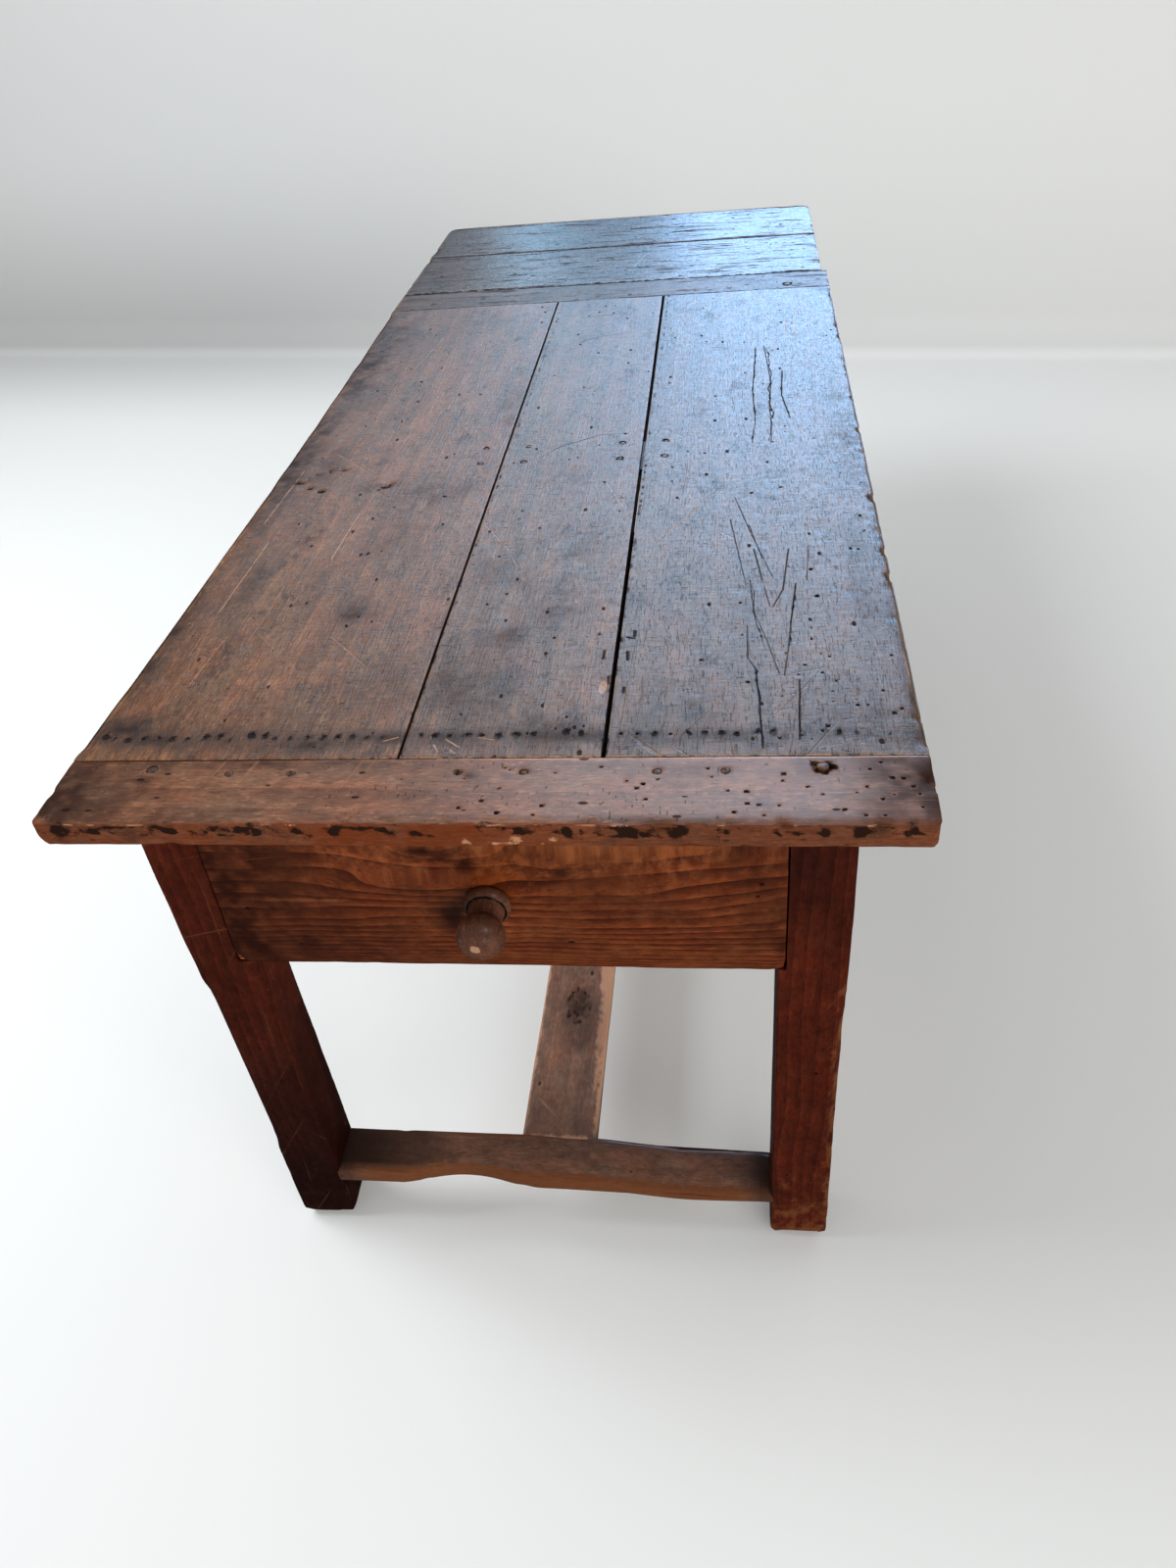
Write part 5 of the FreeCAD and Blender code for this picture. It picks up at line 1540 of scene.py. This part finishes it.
class TABLE_OT_knob(bpy.types.Operator):
    """The turned knob of the drawer"""
    bl_idname = "table.knob"
    bl_label = "Knob"

    sides = 72
    shank = ((-0.026, 0.0), (-0.026, 0.0075), (-0.0252, 0.008), (0.0, 0.008), (0.0, 0.0208),
             (0.0012, 0.0222), (0.004, 0.0232), (0.007, 0.0233), (0.0102, 0.0223), (0.0124, 0.0207),
             (0.013, 0.0198), (0.0131, 0.018), (0.0142, 0.0178), (0.0175, 0.0173), (0.021, 0.0168),
             (0.0245, 0.0165), (0.027, 0.0166))
    ball_middle, ball_back, ball_front, ball_radius = 0.046, 0.022, 0.02, 0.0236
    ball_start, ball_steps = math.radians(46), 24
    chip_place, chip_size = (-0.0015, -0.0655, 0.003), (0.0044, 0.005, 0.0036)
    grain_shift = (0.3, 0.2, 0.4)

    def outline(self):
        """The shank, then the oval ball from its back to its tip."""
        turned = list(self.shank)
        for k in range(self.ball_steps + 1):
            turn = self.ball_start + (math.pi - self.ball_start) * k / self.ball_steps
            half = self.ball_back if turn < math.pi / 2 else self.ball_front
            turned.append((self.ball_middle - half * math.cos(turn), self.ball_radius * math.sin(turn)))
        return turned

    def execute(self, context):
        low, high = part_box("drawer_knob")
        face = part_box("drawer_front")[0].y
        centre = np.array([(low.x + high.x) / 2, face, (low.z + high.z) / 2])
        profile = self.outline()
        points = []
        for out, radius in profile:
            for k in range(self.sides):
                angle = 2 * math.pi * k / self.sides
                points.append((radius * math.cos(angle), -out, radius * math.sin(angle)))
        points = np.array(points)
        grain = points * (1, -1, 1) + self.grain_shift
        chip = np.exp(-(((points - self.chip_place) / self.chip_size) ** 4).sum(1))
        points[:, 1] += 0.8 * MM * chip
        wobble = 0.25 * MM * noise(points / 0.014, 81)
        radial = points * (1, 0, 1)
        points += radial / np.maximum(np.linalg.norm(radial, axis=1, keepdims=True), 1e-6) * wobble[:, None]
        rings = [j * self.sides for j in range(len(profile))]
        faces = bands(rings, self.sides)
        faces[:self.sides] = [(0, *f[2:]) for f in faces[:self.sides]]
        faces[-self.sides:] = [(*f[:2], rings[-1]) for f in faces[-self.sides:]]
        # Dark lines in the groove at the collar and where the collar meets the front.
        grooves = np.array([0.9 if 0.0127 < -p[1] < 0.0136 or abs(p[1]) < 0.0006 else 0.0 for p in points])
        material = wood("knob_wood", tones_of("knob"), rings=30, warp=2, fibre=300, ring_share=0.2, worn=0.9,
                        blotch_share=0.3, pits=0.05, scratch=0.2, rough=(0.24, 0.34), relief=0.1,
                        fibre_share=0.12, dash=0.1)
        mesh_piece("drawer_knob_turned", points + centre, faces, material, "drawer_knob", "knob_wood",
                   TURNED_ANGLE, grain=grain, wear=chip * 0, stain=grooves, bare=chip * 1.3)
        return {"FINISHED"}


class TABLE_OT_pegs(bpy.types.Operator):
    """The ends of the pegs that show on the top and on the legs"""
    bl_idname = "table.pegs"
    bl_label = "Pegs"

    sides = 14
    fit = 0.94
    # Rings of a peg's end: share of the radius, millimetres below the end
    dome = (0.001, -0.2), (0.55, -0.1), (0.88, 0.25), (1.0, 0.9)
    # The axis of each kind of peg; those of the aprons run two ways
    kinds = {"plank_pegs": Z, "breadboard_pegs": Z, "top_pegs": Z, "apron_pegs": None, "stretcher_pegs": Y}

    def execute(self, context):
        material = top_wood("peg_wood", (0.75, 0.68, 0.62), rings=30, fibre=250, ring_share=0.4, pits=0.3,
                            rough=(0.4, 0.6), relief=0.5)
        for seed, (node, axis) in enumerate(self.kinds.items(), start=91):
            self.pegs(node, axis, material, seed)
        return {"FINISHED"}

    def pegs(self, node, axis, material, seed):
        """Round pegs along the axis of each solid, their domed ends sunk a little."""
        points, faces = [], []
        spread = np.random.default_rng(seed)
        for low, high in solids_of(node):
            size = high - low
            along = axis if axis is not None else int(np.argmax(size))
            others = [k for k in (X, Y, Z) if k != along]
            radius = size[others[0]] / 2 * self.fit
            sink = spread.uniform(0.2, 1.6) * MM
            middle = (low + high) / 2
            for end in (0, 1):
                for share, out in self.dome:
                    for k in range(self.sides):
                        angle = 2 * math.pi * k / self.sides
                        reach = radius * share * (1 + 0.05 * math.sin(3 * angle + seed))
                        p = middle.copy()
                        p[others[0]] += reach * math.cos(angle)
                        p[others[1]] += reach * math.sin(angle)
                        inset = sink + out * MM
                        p[along] = low[along] + inset if end == 0 else high[along] - inset
                        points.append(p)
            first = len(points) - 2 * len(self.dome) * self.sides
            rings = [first + r * self.sides for r in (0, 1, 2, 3, 7, 6, 5, 4)]
            faces += bands(rings, self.sides)
            faces += [tuple(range(ring, ring + self.sides)) for ring in (rings[0], rings[-1])]
        points = np.array(points)
        piece = mesh_piece(node + "_ends", points, faces, material, node, "peg_wood", PEG_ANGLE,
                           grain=points, wear=np.zeros(len(points)), stain=np.full(len(points), 0.35))
        turn_outward(piece)


def turn_outward(piece):
    """Faces of a closed mesh turned to look outward."""
    made = bmesh.new()
    made.from_mesh(piece.data)
    bmesh.ops.recalc_face_normals(made, faces=made.faces)
    made.to_mesh(piece.data)
    made.free()


class TABLE_OT_stage(bpy.types.Operator):
    """Floor, backdrop, lights and camera"""
    bl_idname = "table.stage"
    bl_label = "Stage"

    # Panels that show only as a sheen: place, aim, size, share of the window's power, tone
    sheens = {
        "window": ((0.72, 2.3, 1.4), (0.1, 0.3, 0.75), (1.5, 1.1), 0.92, (0.32, 0.53, 0.87)),
        "side_window": ((-0.46, 2.3, 1.2), (-0.2, 0.6, 0.75), (0.22, 0.8), 0.018, (0.4, 0.72, 1.0)),
        "low_haze": ((0.48, 2.5, 1.6), (0.0, 0.2, 0.75), (2.3, 1.3), 0.44, (0.2, 0.6, 1.0)),
        "high_haze": ((0.2, 2.6, 3.2), (0.0, -0.4, 0.75), (2.4, 2.2), 1.6, (0.7, 0.83, 1.0)),
        "left_haze": ((-1.15, 2.5, 2.2), (-0.3, -0.2, 0.75), (1.7, 1.5), 0.21, (0.42, 0.76, 1.0)),
        "glint": ((1.26, -1.85, 2.6), (0.0, -1.05, 0.57), (0.5, 0.5), 0.14, (1.0, 0.97, 0.93))}
    # Lamps that only light: place, aim, size, share of their own power, tone
    lamps = {"fill": ((3.7, -5.8, 1.45), (0.1, -0.9, 0.5), (5.2, 3.0), 4, (1.0, 0.95, 0.88)),
             "key": ((-2.5, -0.4, 3.1), (0, 0, 0.4), (2.0, 2.4), 1, (0.95, 0.985, 1.0))}
    # The backdrop's wall: its direction, the way to it and a place at its foot
    wall_along, wall_away, wall_foot = np.array([[-0.988, 0.153], [0.153, 0.988], [-0.29, 2.41]])
    cove, floor_reach, wall_height, half_width = 0.12, 12.0, 6.0, 9.0

    def execute(self, context):
        stage = context.scene.table_stage
        context.scene.view_settings.view_transform = "Standard"
        self.backdrop(stage)
        self.sky(context, stage)
        for name, (place, aim, size, share, tone) in self.sheens.items():
            self.light(name, place, aim, size, stage.window_power * share, tone, True)
        for name, (place, aim, size, share, tone) in self.lamps.items():
            self.light(name, place, aim, size, getattr(stage, name + "_power") * share, tone, False)
        data = bpy.data.cameras.new("camera")
        data.sensor_fit = "AUTO"
        data.sensor_width = 36
        data.lens = stage.lens
        data.clip_start = 0.05
        camera = placed("camera", data)
        camera.location = stage.camera_place
        camera.rotation_euler = stage.camera_turn
        context.scene.camera = camera
        return {"FINISHED"}

    def backdrop(self, stage):
        """A floor that turns up into a wall in one smooth cove."""
        turns = np.linspace(0, math.pi / 2, 12)
        profile = [(self.cove * (math.sin(t) - 1), self.cove * (1 - math.cos(t))) for t in turns]
        profile = [(-self.floor_reach, 0.0)] + profile + [(0.0, self.wall_height)]
        points = []
        for side in (-self.half_width, self.half_width):
            for out, up in profile:
                points.append((*(self.wall_foot + self.wall_along * side + self.wall_away * out), up))
        count = len(profile)
        mesh = bpy.data.meshes.new("backdrop")
        mesh.from_pydata(points, [], [(k, k + 1, count + k + 1, count + k) for k in range(count - 1)])
        mesh.shade_smooth()
        mesh.materials.append(self.paper(stage))
        paper = placed("backdrop", mesh)
        paper.visible_glossy = False
        paper.visible_shadow = False

    def paper(self, stage):
        """Paper with painted shade on the wall and along its foot, a painted pool of light and a faint glow;
        clear from behind.
        """
        material, tree, shader = new_material("backdrop_paper")
        place = tree.node("ShaderNodeNewGeometry").outputs["Position"]
        height = tree.node("ShaderNodeSeparateXYZ", {0: place}).outputs[2]
        # Painted shade: the wall darker than the floor.
        tone = tree.mix(tree.between(height, 0.0, 0.03), tuple(stage.backdrop), shaded(stage.backdrop, 0.67))
        # Painted light: the paper lighter towards the right and the far side.
        lit = tree.between(tree.dot(place, (0.7, 1.0, 0.0)), 1.4, 3.4, 0.0, 0.16)
        tone = tree.mix(lit, tone, (1, 1, 1))
        # Painted shade along the foot of the wall, deepest towards the left.
        foot_line = float(self.wall_foot @ self.wall_away)
        near_wall = tree.between(tree.dot(place, (*self.wall_away, 0.0)), foot_line - 0.8, foot_line - 0.08)
        low = tree.between(height, 0.75, 0.0)
        left = tree.between(tree.dot(place, (1.0, 0.0, 0.0)), 0.4, -2.0, 0.1, 0.3)
        tone = tree.mix(tree.times(tree.times(near_wall, low), left), tone, (0, 0, 0))
        # A faint glow of the paper: painted light that lifts the shadows on it.
        tree.give(shader, {"Base Color": tone, "Roughness": 0.9, "Specular IOR Level": 0.1,
                           "Emission Color": (0.98, 1.0, 1.0, 1), "Emission Strength": 0.12})
        behind = tree.node("ShaderNodeNewGeometry").outputs["Backfacing"]
        clear = tree.node("ShaderNodeBsdfTransparent").outputs[0]
        seen = tree.node("ShaderNodeMixShader", {0: behind, 1: shader.outputs[0], 2: clear}).outputs[0]
        tree.give(material.node_tree.nodes["Material Output"], {"Surface": seen})
        return material

    def sky(self, context, stage):
        """Soft white light all round, much dimmer where a polished face would mirror it."""
        world = bpy.data.worlds.new("studio")
        world.use_nodes = True
        tree = Tree(world.node_tree)
        mirrored = tree.node("ShaderNodeLightPath").outputs["Is Glossy Ray"]
        strength = tree.between(mirrored, 0.0, 1.0, stage.sky, stage.sky * 0.12)
        shader = world.node_tree.nodes["Background"]
        tree.give(shader, {"Color": (1.0, 0.983, 0.96, 1), "Strength": strength})
        context.scene.world = world

    def light(self, name, place, aim, size, power, tone, mirrored):
        """A soft panel; a mirrored one shows only as a sheen on polished faces, another only lights them."""
        data = bpy.data.lights.new(name, "AREA")
        data.shape = "RECTANGLE"
        data.size, data.size_y = size
        data.energy = power
        data.color = tone
        lamp = placed(name, data)
        lamp.location = place
        lamp.rotation_euler = (lamp.location - type(lamp.location)(aim)).to_track_quat("Z", "Y").to_euler()
        lamp.visible_camera = False
        lamp.visible_diffuse = not mirrored
        lamp.visible_glossy = mirrored


class TABLE_PT_panel(bpy.types.Panel):
    """Lists the builders of the table"""
    bl_idname = "TABLE_PT_panel"
    bl_label = "Farmhouse table"
    bl_space_type = "VIEW_3D"
    bl_region_type = "UI"
    bl_category = "Table"

    def draw(self, context):
        for operator in OPERATORS:
            self.layout.operator(operator.bl_idname)
        for holder in (context.scene.table_wear, context.scene.table_finish, context.scene.table_stage):
            box = self.layout.box()
            for key in holder.bl_rna.properties.keys():
                if key not in ("rna_type", "name"):
                    box.prop(holder, key)


OPERATORS = (TABLE_OT_planks, TABLE_OT_breadboards, TABLE_OT_leaf, TABLE_OT_legs, TABLE_OT_aprons,
             TABLE_OT_stretchers, TABLE_OT_drawer, TABLE_OT_inner_frame, TABLE_OT_knob, TABLE_OT_pegs,
             TABLE_OT_stage)
SETTINGS = {"table_wear": TableWear, "table_finish": TableFinish, "table_stage": TableStage}


def register():
    for item in (*SETTINGS.values(), *OPERATORS, TABLE_PT_panel):
        bpy.utils.register_class(item)
    for name, item in SETTINGS.items():
        setattr(bpy.types.Scene, name, PointerProperty(type=item))


def unregister():
    for name in SETTINGS:
        delattr(bpy.types.Scene, name)
    for item in reversed((*SETTINGS.values(), *OPERATORS, TABLE_PT_panel)):
        bpy.utils.unregister_class(item)


def main():
    register()
    for operator in OPERATORS:
        group_name, call = operator.bl_idname.split(".")
        getattr(getattr(bpy.ops, group_name), call)()


if __name__ == "__main__":
    main()
